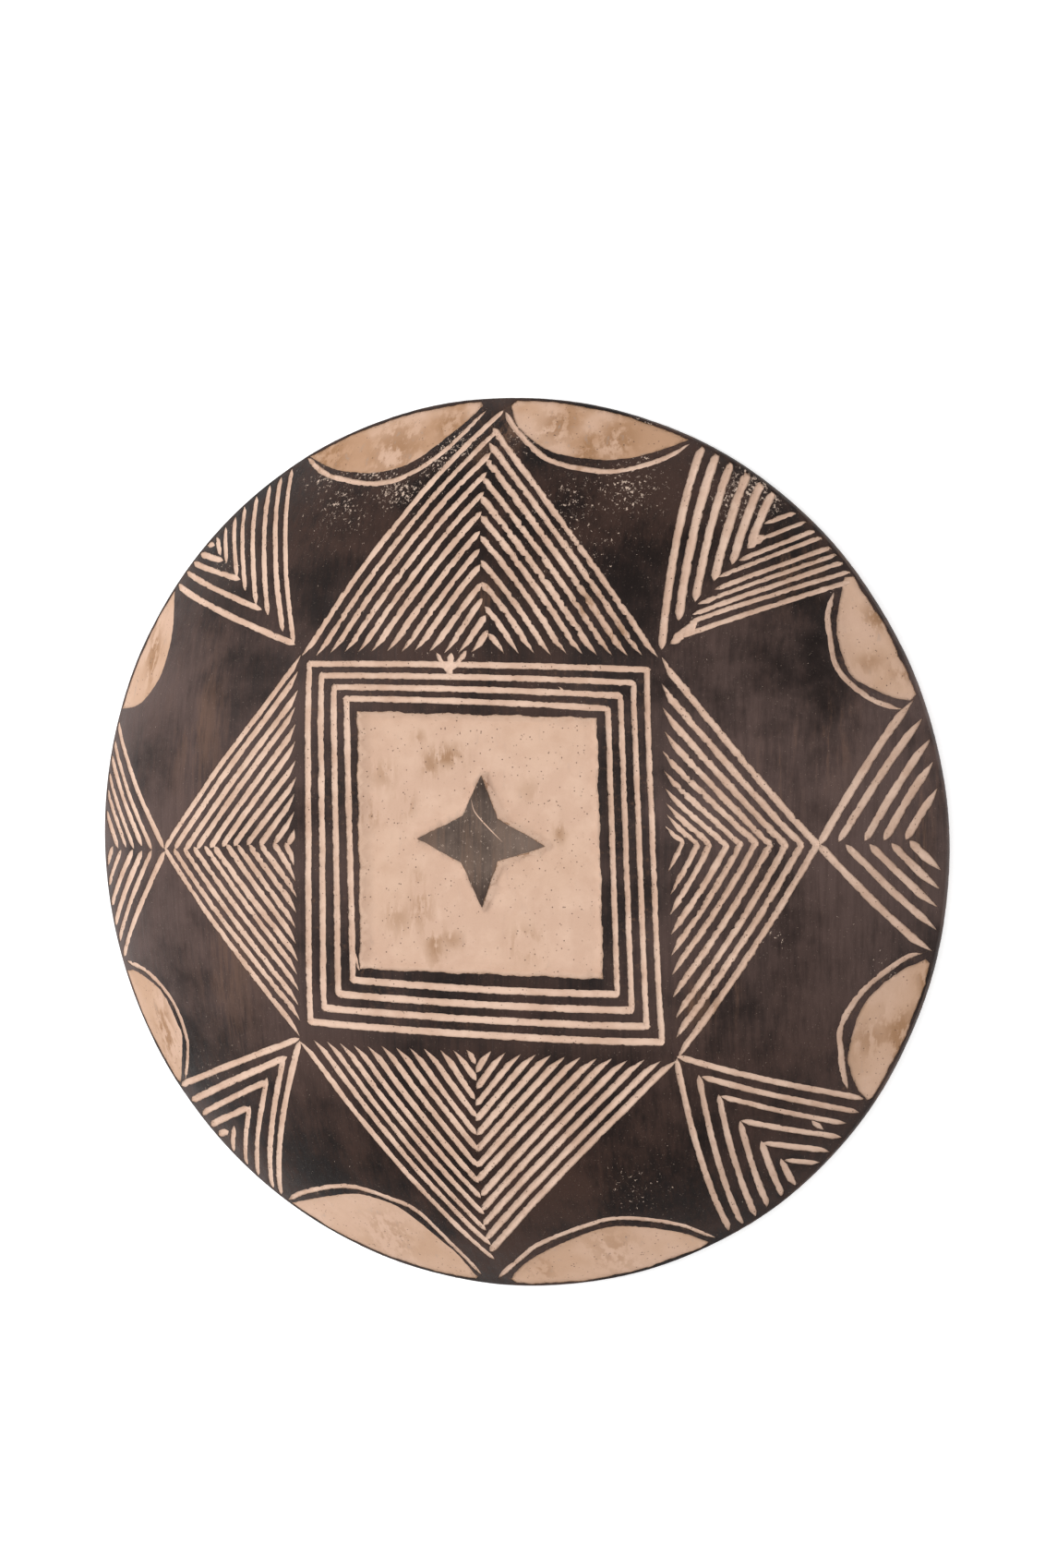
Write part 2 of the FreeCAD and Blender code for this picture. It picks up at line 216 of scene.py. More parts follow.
# ------------------------------------------------------------------------------- finishes
class Nodes:
    """A short way to write a material's nodes."""

    def __init__(self, name: str) -> None:
        """Open a new material.

        Args:
            name: the material's name.
        """
        self.material = bpy.data.materials.new(name)
        self.material.use_nodes = True
        self.tree = self.material.node_tree
        self.tree.nodes.clear()
        self.output = self.tree.nodes.new("ShaderNodeOutputMaterial")
        self.place = self.tree.nodes.new("ShaderNodeTexCoord").outputs["Object"]

    def put(self, socket: bpy.types.NodeSocket, value: object) -> None:
        """Link a socket to another, or set its value.

        Args:
            socket: the input to fill.
            value: an output socket, a number or a colour.
        """
        if isinstance(value, bpy.types.NodeSocket):
            self.tree.links.new(value, socket)
        elif isinstance(value, tuple) and len(value) == 3 and socket.type == "RGBA":
            socket.default_value = (*value, 1.0)
        else:
            socket.default_value = value

    def add(self, kind: str, **values: object) -> bpy.types.Node:
        """Add a node and fill its inputs by name.

        Args:
            kind: the node's type.
            values: what each input gets.

        Returns:
            The node.
        """
        node = self.tree.nodes.new(kind)
        for name, value in values.items():
            self.put(node.inputs[name], value)
        return node

    def math(self, kind: str, first: object, second: object = 0.0,
             clamp: bool = False) -> bpy.types.NodeSocket:
        """Combine two numbers.

        Args:
            kind: the operation.
            first: the first number.
            second: the second number.
            clamp: whether to keep the result from 0 to 1.

        Returns:
            The result.
        """
        node = self.tree.nodes.new("ShaderNodeMath")
        node.operation, node.use_clamp = kind, clamp
        self.put(node.inputs[0], first)
        self.put(node.inputs[1], second)
        return node.outputs[0]

    def times(self, first: object, second: object, clamp: bool = False) -> bpy.types.NodeSocket:
        """Multiply two numbers."""
        return self.math("MULTIPLY", first, second, clamp)

    def plus(self, first: object, second: object) -> bpy.types.NodeSocket:
        """Add two numbers."""
        return self.math("ADD", first, second)

    def stretched(self, x: float, y: float, z: float) -> bpy.types.NodeSocket:
        """Give the place on the object, scaled on each axis.

        Args:
            x: the scale along x.
            y: the scale along y.
            z: the scale along z.

        Returns:
            The scaled place.
        """
        node = self.tree.nodes.new("ShaderNodeVectorMath")
        node.operation = "MULTIPLY"
        self.put(node.inputs[0], self.place)
        node.inputs[1].default_value = (x, y, z)
        return node.outputs[0]

    def noise(self, vector: bpy.types.NodeSocket, scale: float = 1.0, detail: float = 4.0,
              rough: float = 0.6) -> bpy.types.NodeSocket:
        """Give cloudy noise."""
        return self.add("ShaderNodeTexNoise", Vector=vector, Scale=scale, Detail=detail,
                        Roughness=rough).outputs["Fac"]

    def span(self, value: object, low: float, high: float, to_low: float = 0.0,
             to_high: float = 1.0) -> bpy.types.NodeSocket:
        """Map a range onto another, smoothly and clamped.

        Args:
            value: the number to map.
            low: the bottom of its range.
            high: the top of its range.
            to_low: what the bottom becomes.
            to_high: what the top becomes.

        Returns:
            The mapped number.
        """
        node = self.tree.nodes.new("ShaderNodeMapRange")
        node.interpolation_type = "SMOOTHSTEP"
        for name, item in (("Value", value), ("From Min", low), ("From Max", high),
                           ("To Min", to_low), ("To Max", to_high)):
            self.put(node.inputs[name], item)
        return node.outputs["Result"]

    def blend(self, share: object, first: object, second: object) -> bpy.types.NodeSocket:
        """Mix two colours.

        Args:
            share: how much of the second, 0 to 1.
            first: the first colour.
            second: the second colour.

        Returns:
            The mixed colour.
        """
        node = self.tree.nodes.new("ShaderNodeMix")
        node.data_type = "RGBA"
        self.put(node.inputs[0], share)
        self.put(node.inputs[6], first)
        self.put(node.inputs[7], second)
        return node.outputs[2]

    def mask(self, name: str) -> bpy.types.NodeSocket:
        """Read a number kept on the mesh's points.

        Args:
            name: the number's name.

        Returns:
            The number.
        """
        node = self.tree.nodes.new("ShaderNodeAttribute")
        node.attribute_name = name
        return node.outputs["Fac"]

    def bump(self, height: object, distance: float, strength: float,
             under: object = None) -> bpy.types.NodeSocket:
        """Raise a fine relief.

        Args:
            height: the relief.
            distance: its depth in metres.
            strength: how strongly it shows.
            under: a normal that it is laid over, if any.

        Returns:
            The bent normal.
        """
        node = self.add("ShaderNodeBump", Height=height, Distance=distance, Strength=strength)
        if under is not None:
            self.put(node.inputs["Normal"], under)
        return node.outputs["Normal"]

    def finish(self, colour: object, roughness: object, normal: object,
               specular: float) -> bpy.types.Material:
        """Close the material with one principled surface.

        Args:
            colour: the base colour.
            roughness: how rough it is.
            normal: the bent normal.
            specular: how strongly it reflects.

        Returns:
            The finished material.
        """
        surface = self.add("ShaderNodeBsdfPrincipled")
        surface.inputs["Metallic"].default_value = 0.0
        surface.inputs["Specular IOR Level"].default_value = specular
        self.put(surface.inputs["Base Color"], colour)
        self.put(surface.inputs["Roughness"], roughness)
        self.put(surface.inputs["Normal"], normal)
        self.tree.links.new(surface.outputs["BSDF"], self.output.inputs["Surface"])
        return self.material


@dataclass(frozen=True)
class StainedWood:
    """Dense wood stained almost black, with streaks along the grain, worn brown edges and a painted greyish
    sheen.
    """

    name: str
    deep: Colour = (0.0060, 0.0026, 0.0019)
    light: Colour = (0.0430, 0.0215, 0.0155)
    # Grey of the painted sheen, a reflection painted into the colour; the scratches reuse it.
    painted_sheen: Colour = (0.102, 0.066, 0.058)
    brown: Colour = (0.155, 0.082, 0.048)
    pale: Colour = (0.58, 0.44, 0.35)
    specks: float = 0.95
    sheen: float = 0.12
    streaks: Stretch = (430, 22, 260)
    figuring: Stretch = (70, 6, 60)
    flecks: Stretch = (560, 400, 560)
    scratches: Stretch = (1500, 45, 700)

    def material(self) -> bpy.types.Material:
        """Build the material.

        Returns:
            The stained wood, driven by the masks wear, brown, residue and wall, and by the mask of its
            painted sheen.
        """
        n = Nodes(self.name)
        streak = n.noise(n.stretched(*self.streaks), detail=5, rough=0.72)
        figure = n.noise(n.stretched(*self.figuring), detail=4)
        cloud = n.noise(n.place, scale=17, detail=5)
        grit = n.noise(n.place, scale=2400, detail=2)
        tone = n.plus(n.times(streak, 0.26), n.plus(n.times(figure, 0.14), n.times(cloud, 0.60)))
        colour = n.blend(n.span(tone, 0.40, 0.62), self.deep, self.light)

        # Painted sheen: a greyish reflection painted into the wood's colour, placed by the sheen mask.
        painted_sheen_share = n.times(n.mask("painted_sheen"), n.span(cloud, 0.24, 0.64))
        colour = n.blend(n.times(painted_sheen_share, n.span(streak, 0.30, 0.66, 0.65, 1.0)), colour, self.painted_sheen)
        worn = n.plus(n.mask("wear"), n.times(n.noise(n.place, scale=420, detail=5, rough=0.7), 0.9))
        colour = n.blend(n.times(n.span(worn, 1.12, 1.52), 0.85), colour, self.brown)
        rubbed = n.times(n.mask("brown"), n.span(n.plus(streak, figure), 0.92, 1.16), clamp=True)
        colour = n.blend(n.times(rubbed, 0.85), colour, self.brown)

        fleck = n.noise(n.stretched(*self.flecks), detail=4, rough=0.80)
        limit = n.math("SUBTRACT", 0.700, n.times(n.mask("residue"), 0.165))
        chalk = n.span(n.math("SUBTRACT", fleck, limit), 0.0, 0.016)
        colour = n.blend(n.times(chalk, self.specks), colour, self.pale)
        dust = n.span(n.noise(n.place, scale=1150, detail=2, rough=0.8), 0.66, 0.73)
        colour = n.blend(n.times(dust, 0.22), colour, self.pale)
        scratch = n.span(n.noise(n.stretched(*self.scratches), detail=2), 0.66, 0.72)
        scratch = n.times(scratch, n.span(cloud, 0.45, 0.62))
        # The scratches are real wear; they take the painted sheen's grey as their pale colour.
        colour = n.blend(n.times(scratch, 0.28), colour, self.painted_sheen)
        colour = n.blend(n.span(n.mask("wall"), 0.2, 0.9, 0.0, 0.8), colour, self.brown)

        rough = n.span(n.plus(streak, n.times(grit, 0.4)), 0.45, 0.95, 0.46, 0.68)
        relief = n.bump(streak, 0.00035, 0.55)
        relief = n.bump(n.plus(grit, chalk), 0.00012, 0.6, relief)
        relief = n.bump(figure, 0.0008, 0.30, relief)
        return n.finish(colour, rough, relief, self.sheen)


@dataclass(frozen=True)
class PaleClay:
    """Pinkish white clay rubbed into the cuts, dry, porous and stained at its edges."""

    name: str
    light: Colour = (0.735, 0.525, 0.408)
    shade: Colour = (0.600, 0.402, 0.298)
    stain: Colour = (0.300, 0.155, 0.072)
    grey: Colour = (0.330, 0.270, 0.235)
    pore: Colour = (0.085, 0.046, 0.034)
    tan: Colour = (0.455, 0.270, 0.165)
    smears: Stretch = (260, 60, 200)
    sheen: float = 0.22

    def material(self) -> bpy.types.Material:
        """Build the material.

        Returns:
            The clay, driven by the masks stain, fringe and field.
        """
        n = Nodes(self.name)
        cloud = n.noise(n.place, scale=75, detail=6, rough=0.62)
        drift = n.noise(n.place, scale=19, detail=3)
        grain = n.noise(n.place, scale=1300, detail=4, rough=0.7)
        smear = n.noise(n.stretched(*self.smears), detail=4)
        tone = n.plus(n.times(cloud, 0.5), n.times(drift, 0.5))
        colour = n.blend(n.span(tone, 0.38, 0.62), self.shade, self.light)

        soft = n.plus(n.times(drift, 0.72), n.times(tone, 0.28))
        tanned = n.times(n.mask("field"), n.span(soft, 0.36, 0.60, 0.15, 0.90), clamp=True)
        colour = n.blend(tanned, colour, self.tan)
        patchy = n.span(n.plus(cloud, smear), 0.90, 1.08, 0.05, 1.6)
        blot = n.times(n.mask("stain"), patchy, clamp=True)
        colour = n.blend(n.times(blot, 0.80), colour, self.stain)
        faint = n.times(n.mask("field"), n.span(smear, 0.60, 0.74))
        colour = n.blend(n.times(faint, 0.35), colour, self.grey)
        edge = n.plus(n.mask("fringe"), n.times(n.noise(n.place, scale=700, detail=4, rough=0.7), 0.9))
        colour = n.blend(n.times(n.span(edge, 0.94, 1.20), 0.74), colour, self.stain)

        holes = n.add("ShaderNodeTexVoronoi", Vector=n.place, Scale=520.0, Randomness=1.0)
        pit = n.times(n.span(holes.outputs["Distance"], 0.10, 0.24, 1.0, 0.0),
                      n.span(n.noise(n.place, scale=310, detail=3), 0.50, 0.60))
        colour = n.blend(n.times(pit, 0.80), colour, self.pore)
        dust = n.span(n.noise(n.place, scale=1900, detail=3, rough=0.8), 0.64, 0.74)
        colour = n.blend(n.times(dust, 0.42), colour, self.stain)

        relief = n.bump(grain, 0.00022, 0.55)
        relief = n.bump(n.math("SUBTRACT", cloud, n.times(pit, 0.8)), 0.0007, 0.55, relief)
        return n.finish(colour, n.span(grain, 0.3, 0.7, 0.78, 0.95), relief, self.sheen)


@dataclass(frozen=True)
class PaleFloor:
    """A plain matt floor, almost white."""

    name: str = "pale_floor"
    colour: Colour = (0.93, 0.93, 0.93)
    glow: float = 0.45

    def material(self) -> bpy.types.Material:
        """Build the material.

        Returns:
            The floor's finish.
        """
        n = Nodes(self.name)
        mottle = n.noise(n.place, scale=3, detail=3)
        shade = tuple(0.985 * part for part in self.colour)
        made = n.finish(n.blend(mottle, shade, self.colour), 0.9, n.bump(mottle, 0.0005, 0.1), 0.1)
        surface = n.tree.nodes["Principled BSDF"]
        surface.inputs["Emission Color"].default_value = (1.0, 1.0, 1.0, 1.0)
        surface.inputs["Emission Strength"].default_value = self.glow
        return made


def make_piece(name: str, points: np.ndarray, faces: Iterable[Sequence[int]],
               masks: dict[str, np.ndarray], material: bpy.types.Material) -> bpy.types.Object:
    """Make one visible piece from points and faces.

    Args:
        name: the piece's name.
        points: its points in metres.
        faces: point numbers of each face.
        masks: numbers kept on the points for the finish.
        material: the finish.

    Returns:
        The object, riding on the bowl's one body.
    """
    mesh = bpy.data.meshes.new(name)
    mesh.from_pydata(points.tolist(), [], [tuple(map(int, face)) for face in faces])
    for mask, values in masks.items():
        layer = mesh.attributes.new(mask, "FLOAT", "POINT")
        layer.data.foreach_set("value", np.ascontiguousarray(values, dtype=np.float32))
    mesh.shade_smooth()
    mesh.materials.append(material)
    mesh.update()
    item = bpy.data.objects.new(name, mesh)
    bpy.context.scene.collection.objects.link(item)
    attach(item, "root")
    return item


# ------------------------------------------------------------------------------- the carving
@dataclass(frozen=True)
class KnifeCut:
    """One cut: a groove that starts in a sharp point and ends in a slanted foot. Millimetres.

    lean puts the foot's point on the cut's left edge (1), right edge (-1) or between them.
    """

    path: tuple[Point, ...]
    width: float = 3.4
    point: float = 3.4
    foot: float = 9.0
    lean: float = 0.0
    bow: float = 0.0
    ragged: float = 1.0
    reach: float = 223.6

    def middle(self, step: float) -> np.ndarray:
        """Give the cut's middle line, with its bow and kept inside the rim.

        Args:
            step: the spacing wanted along it.

        Returns:
            Evenly spaced plan points.
        """
        line = curve(self.path, step)
        share = np.linspace(0, 1, len(line))
        line = line + normals_of(line) * (self.bow * 4 * share * (1 - share))[:, None]
        radius = np.linalg.norm(line, axis=1)
        return line * np.minimum(1, self.reach / np.maximum(radius, 1e-6))[:, None]

    def shape(self, rng: np.random.Generator) -> tuple[np.ndarray, np.ndarray]:
        """Draw the cut.

        Args:
            rng: the random source.

        Returns:
            The closed outline, and loose points that carry the groove's floor.
        """
        line = self.middle(1.3)
        along = np.concatenate([[0], np.cumsum(np.linalg.norm(np.diff(line, axis=0), axis=1))])
        length, half = along[-1], self.width / 2
        point, foot = min(self.point, 0.35 * length), min(self.foot, 0.45 * length)
        opening = np.clip(along / point, 0, 1) ** 0.8
        closing = np.clip((length - along) / foot, 0, 1) ** 0.85
        body = np.minimum(opening, closing)
        shift = self.lean * half * (1 - closing)
        size = half * (1 + hand_wave(rng, along, 0.035))
        edges = []
        for side in (1, -1):
            rough = rng.normal(0, 0.13, len(line)) * self.ragged
            nicks = (rng.random(len(line)) < 0.18) * rng.uniform(-0.35, 0.75, len(line)) * self.ragged
            reach = np.maximum(size * body + (rough - nicks) * body, 0.02)
            offset = shift + side * reach + hand_wave(rng, along, 0.05)
            edges.append(line + normals_of(line) * offset[:, None])
        outline = np.vstack([edges[0], edges[1][-2:0:-1]])
        floor = []
        for share in (0.44, -0.44):
            wide = body > 0.45
            floor.append((line + normals_of(line) * (shift + share * size * body)[:, None])[wide])
        narrow = (body <= 0.45) & (body > 0.1)
        floor.append((line + normals_of(line) * shift[:, None])[narrow])
        radius = np.linalg.norm(outline, axis=1)
        outline *= np.minimum(1, (self.reach + 0.2) / np.maximum(radius, 1e-6))[:, None]
        return outline, np.vstack(floor)


@dataclass(frozen=True)
class Fan:
    """A run of near-parallel cuts, from the outermost to the innermost."""

    count: int
    outer: Line
    inner: Line
    middle: Line | None = None
    lean: float = 0.0
    bow: tuple[float, float] = (0.0, 0.0)
    width: float = 3.4
    ragged: float = 1.0
    point: float = 2.6
    taper: float = 0.0

    def cuts(self, rng: np.random.Generator) -> list[KnifeCut]:
        """Lay the cuts out, each a little off the even spacing.

        Args:
            rng: the random source.

        Returns:
            The cuts, outermost first.
        """
        centre = self.middle or tuple(tuple((np.array(a) + np.array(b)) / 2)
                                      for a, b in zip(self.outer, self.inner))
        found = []
        for number in range(self.count):
            share = number / (self.count - 1)
            ends = []
            for a, m, b in zip(self.outer, centre, self.inner):
                a, m, b = np.array(a), np.array(m), np.array(b)
                place = (a * (1 - share) * (1 - 2 * share) + m * 4 * share * (1 - share)
                         + b * share * (2 * share - 1))
                ends.append(tuple(place + rng.normal(0, 0.35, 2)))
            bow = self.bow[0] + share * (self.bow[1] - self.bow[0])
            found.append(KnifeCut(tuple(ends), lean=self.lean,
                                  width=self.width * rng.uniform(0.92, 1.05) * (1 - self.taper * share),
                                  bow=bow, ragged=self.ragged, point=self.point))
        return found


@dataclass(frozen=True)
class Nest:
    """One nest of chevrons: the cuts whose clay is one node of the part."""

    node: str
    fans: tuple[Fan, ...] = ()
    lines: tuple[Line, ...] = ()
    patches: tuple[tuple[Line, float], ...] = ()
    width: float = 3.2
    foot: float = 7.0
    ragged: float = 0.55
    broad: int = 0
    broadening: float = 1.65

    def runs(self, rng: np.random.Generator) -> list[list[KnifeCut]]:
        """Give the nest's cuts, one list for each run of neighbours.

        Args:
            rng: the random source.

        Returns:
            The runs of cuts.
        """
        found = [fan.cuts(rng) for fan in self.fans]
        if self.lines:
            swells = [self.broadening if number < self.broad else 1.0 for number in range(len(self.lines))]
            found.append([KnifeCut(line, width=self.width * rng.uniform(0.9, 1.08) * swell,
                                   foot=self.foot, lean=rng.uniform(-0.6, 0.6), ragged=self.ragged)
                          for line, swell in zip(self.lines, swells)])
        found += [[KnifeCut(line, width=width, point=2.5, foot=2.5, ragged=3.0)]
                  for line, width in self.patches]
        return found


@dataclass(frozen=True)
class FrameLines:
    """Four square lines around the star panel, laid side by side from inside to outside."""

    nodes: tuple[str, ...] = ("frame_line_inner", "frame_line_second", "frame_line_third",
                              "frame_line_outer")
    inner: tuple[Point, ...] = ((-64, 75.5), (71.5, 72.5), (76.5, -66), (-61, -64))
    outer: tuple[Point, ...] = ((-84.5, 92.5), (90.5, 91.5), (98.5, -89), (-84.5, -86))
    widths: tuple[float, ...] = (3.1, 3.1, 3.7, 3.5)
    bows: tuple[float, ...] = (0.9, 0.0, 1.3, 0.2)
    splinters: tuple[tuple[str, Line, float], ...] = (
        ("frame_line_outer", ((-17, 99), (-11, 89)), 2.4),
        ("frame_line_outer", ((-1, 100), (-9, 90)), 2.6),
        ("frame_line_outer", ((-9, 99), (-10.5, 85.5)), 3.4),
        ("frame_line_inner", ((-61, -48), (-58.8, -56)), 1.6),
        ("frame_line_inner", ((-60, -50), (-57.6, -60)), 1.2),
        ("frame_line_second", ((46, 83), (50, 79.5)), 1.4),
        ("frame_line_outer", ((60, 95), (62.5, 91)), 1.3))

    def runs(self, number: int, rng: np.random.Generator) -> list[list[KnifeCut]]:
        """Give the four sides of one line, each run a little past its corners.

        Args:
            number: which line, from the inside out.
            rng: the random source.

        Returns:
            One run for each side and each splinter.
        """
        share = number / (len(self.nodes) - 1)
        corners = [np.array(a) + share * (np.array(b) - np.array(a)) for a, b in zip(self.inner, self.outer)]
        found = []
        for side, (start, end) in enumerate(zip(corners, corners[1:] + corners[:1])):
            way = (end - start) / np.linalg.norm(end - start)
            past = rng.uniform(1.0, 2.2, 2)
            found.append([KnifeCut((tuple(start - way * past[0]), tuple(end + way * past[1])),
                                   width=self.widths[side], point=1.6, foot=2.0, bow=self.bows[side],
                                   ragged=0.55)])
        found += [[KnifeCut(line, width=width, point=2.0, foot=3.0, ragged=1.6)]
                  for node, line, width in self.splinters if node == self.nodes[number]]
        return found


@dataclass(frozen=True)
class Scallop:
    """One clay field at the rim, with the narrow line that follows its round edge."""

    name: str
    edge: tuple[Point, ...]
    outline: tuple[Point, ...] = ()
    width: float = 2.4
    reach: float = FIELD_EDGE

    def field_ring(self, rng: np.random.Generator) -> np.ndarray:
        """Draw the field: its round edge, then its long edge just inside the rim.

        Args:
            rng: the random source.

        Returns:
            The closed outline.
        """
        line = curve(self.edge, 1.5)
        line = line + normals_of(line) * rng.normal(0, 0.12, len(line))[:, None]
        line *= np.minimum(1, self.reach / np.linalg.norm(line, axis=1))[:, None]
        start, end = (math.atan2(y, x) for x, y in (line[-1], line[0]))
        sweep = (end - start + math.pi) % (2 * math.pi) - math.pi
        steps = max(8, int(abs(sweep) * self.reach / 2.0))
        angle = start + sweep * np.linspace(0, 1, steps)[1:-1]
        radius = self.reach - 0.4 + hand_wave(rng, angle * self.reach, 0.2) + rng.normal(0, 0.12, len(angle))
        arc = np.column_stack([radius * np.cos(angle), radius * np.sin(angle)])
        return np.vstack([line, arc])

    def cut(self) -> KnifeCut:
        """Give the line beside the field."""
        return KnifeCut(self.outline, width=self.width, point=5.0, foot=6.0, ragged=0.7)


@dataclass(frozen=True)
class Blot:
    """A mark left on the face: its middle, its spread and how strong it is. Millimetres."""

    x: float
    y: float
    spread: float
    strength: float = 1.0
    tall: float = 1.0

    def at(self, plan: np.ndarray) -> np.ndarray:
        """Give the mark's strength at plan points.

        Args:
            plan: the plan points.

        Returns:
            One strength per point.
        """
        across = (plan[:, 0] - self.x) / self.spread
        along = (plan[:, 1] - self.y) / (self.spread * self.tall)
        return self.strength * np.exp(-(across ** 2 + along ** 2))


def marks(blots: Iterable[Blot], plan: np.ndarray) -> np.ndarray:
    """Find the strongest mark at each plan point.

    Args:
        blots: the marks.
        plan: the plan points.

    Returns:
        One strength per point, 0 to 1.
    """
    total = np.zeros(len(plan))
    for blot in blots:
        total = np.maximum(total, blot.at(plan))
    return np.clip(total, 0, 1)


def painted_sheen_at(plan: np.ndarray) -> np.ndarray:
    """Give the painted sheen, a greyish reflection painted into the stained wood's colour, strongest to the
    left and right.

    Args:
        plan: the plan points.

    Returns:
        One strength per point, 0 to 1.
    """
    left = np.clip(-plan[:, 0] / 150, 0, 1)
    right = np.clip((plan[:, 0] - 40) / 80, 0, 1) * np.clip(0.9 + plan[:, 1] / 160, 0.3, 1)
    middle = np.clip(1 - (np.abs(plan[:, 1]) - 80) / 80, 0.05, 1)
    return np.clip(0.10 + 0.85 * left + 0.95 * right, 0, 1) * middle


@dataclass(frozen=True)
class StarPanel:
    """The sunk clay panel in the middle, with a four-pointed wooden star left standing in it."""

    node: str = "panel_clay"
    corners: tuple[Point, ...] = ((-57.5, -58.5), (69.5, -59), (66, 68), (-58.5, 69.5))
    floor: tuple[Point, ...] = ((-52.6, -53.4), (66.6, -54.6), (63.2, 65.4), (-53.6, 67.0))
    tips: tuple[Point, ...] = ((6.5, 39), (39.5, 5), (7, -26), (-27, 7))
    notches: tuple[Point, ...] = ((15, 18), (15, -3), (-4, -4), (-3, 19))
    depth: float = 3.9
    scratch: tuple[Point, ...] = ((1.5, 27), (3.5, 21), (10, 14), (18, 6.5))
    scratch_half: float = 0.30

    def ragged_ring(self, corners: Sequence[Point], rng: np.random.Generator, rough: float) -> np.ndarray:
        """Draw a straight-sided ring with hand-cut edges.

        Args:
            corners: the ring's corners.
            rng: the random source.
            rough: how uneven its edges are.

        Returns:
            The closed outline.
        """
        found = []
        for start, end in zip(corners, (*corners[1:], corners[0])):
            line = curve((start, end), 1.4)
            along = np.linalg.norm(line - line[0], axis=1)
            fade = np.minimum(1, np.minimum(along, along[-1] - along) / 4)
            shift = (hand_wave(rng, along, 2.2 * rough) + rng.normal(0, rough, len(line))) * fade
            found.append((line + normals_of(line) * shift[:, None])[:-1])
        return np.vstack(found)

    def panel_ring(self, rng: np.random.Generator) -> np.ndarray:
        """Draw the panel's upper edge."""
        return self.ragged_ring(self.corners, rng, 0.13)

    def floor_ring(self, rng: np.random.Generator) -> np.ndarray:
        """Draw the foot of the panel's sloping walls."""
        return self.ragged_ring(self.floor, rng, 0.12)

    def star_ring(self, rng: np.random.Generator) -> np.ndarray:
        """Draw the star's upper edge."""
        points = [point for pair in zip(self.tips, self.notches) for point in pair]
        return self.ragged_ring(points, rng, 0.07)


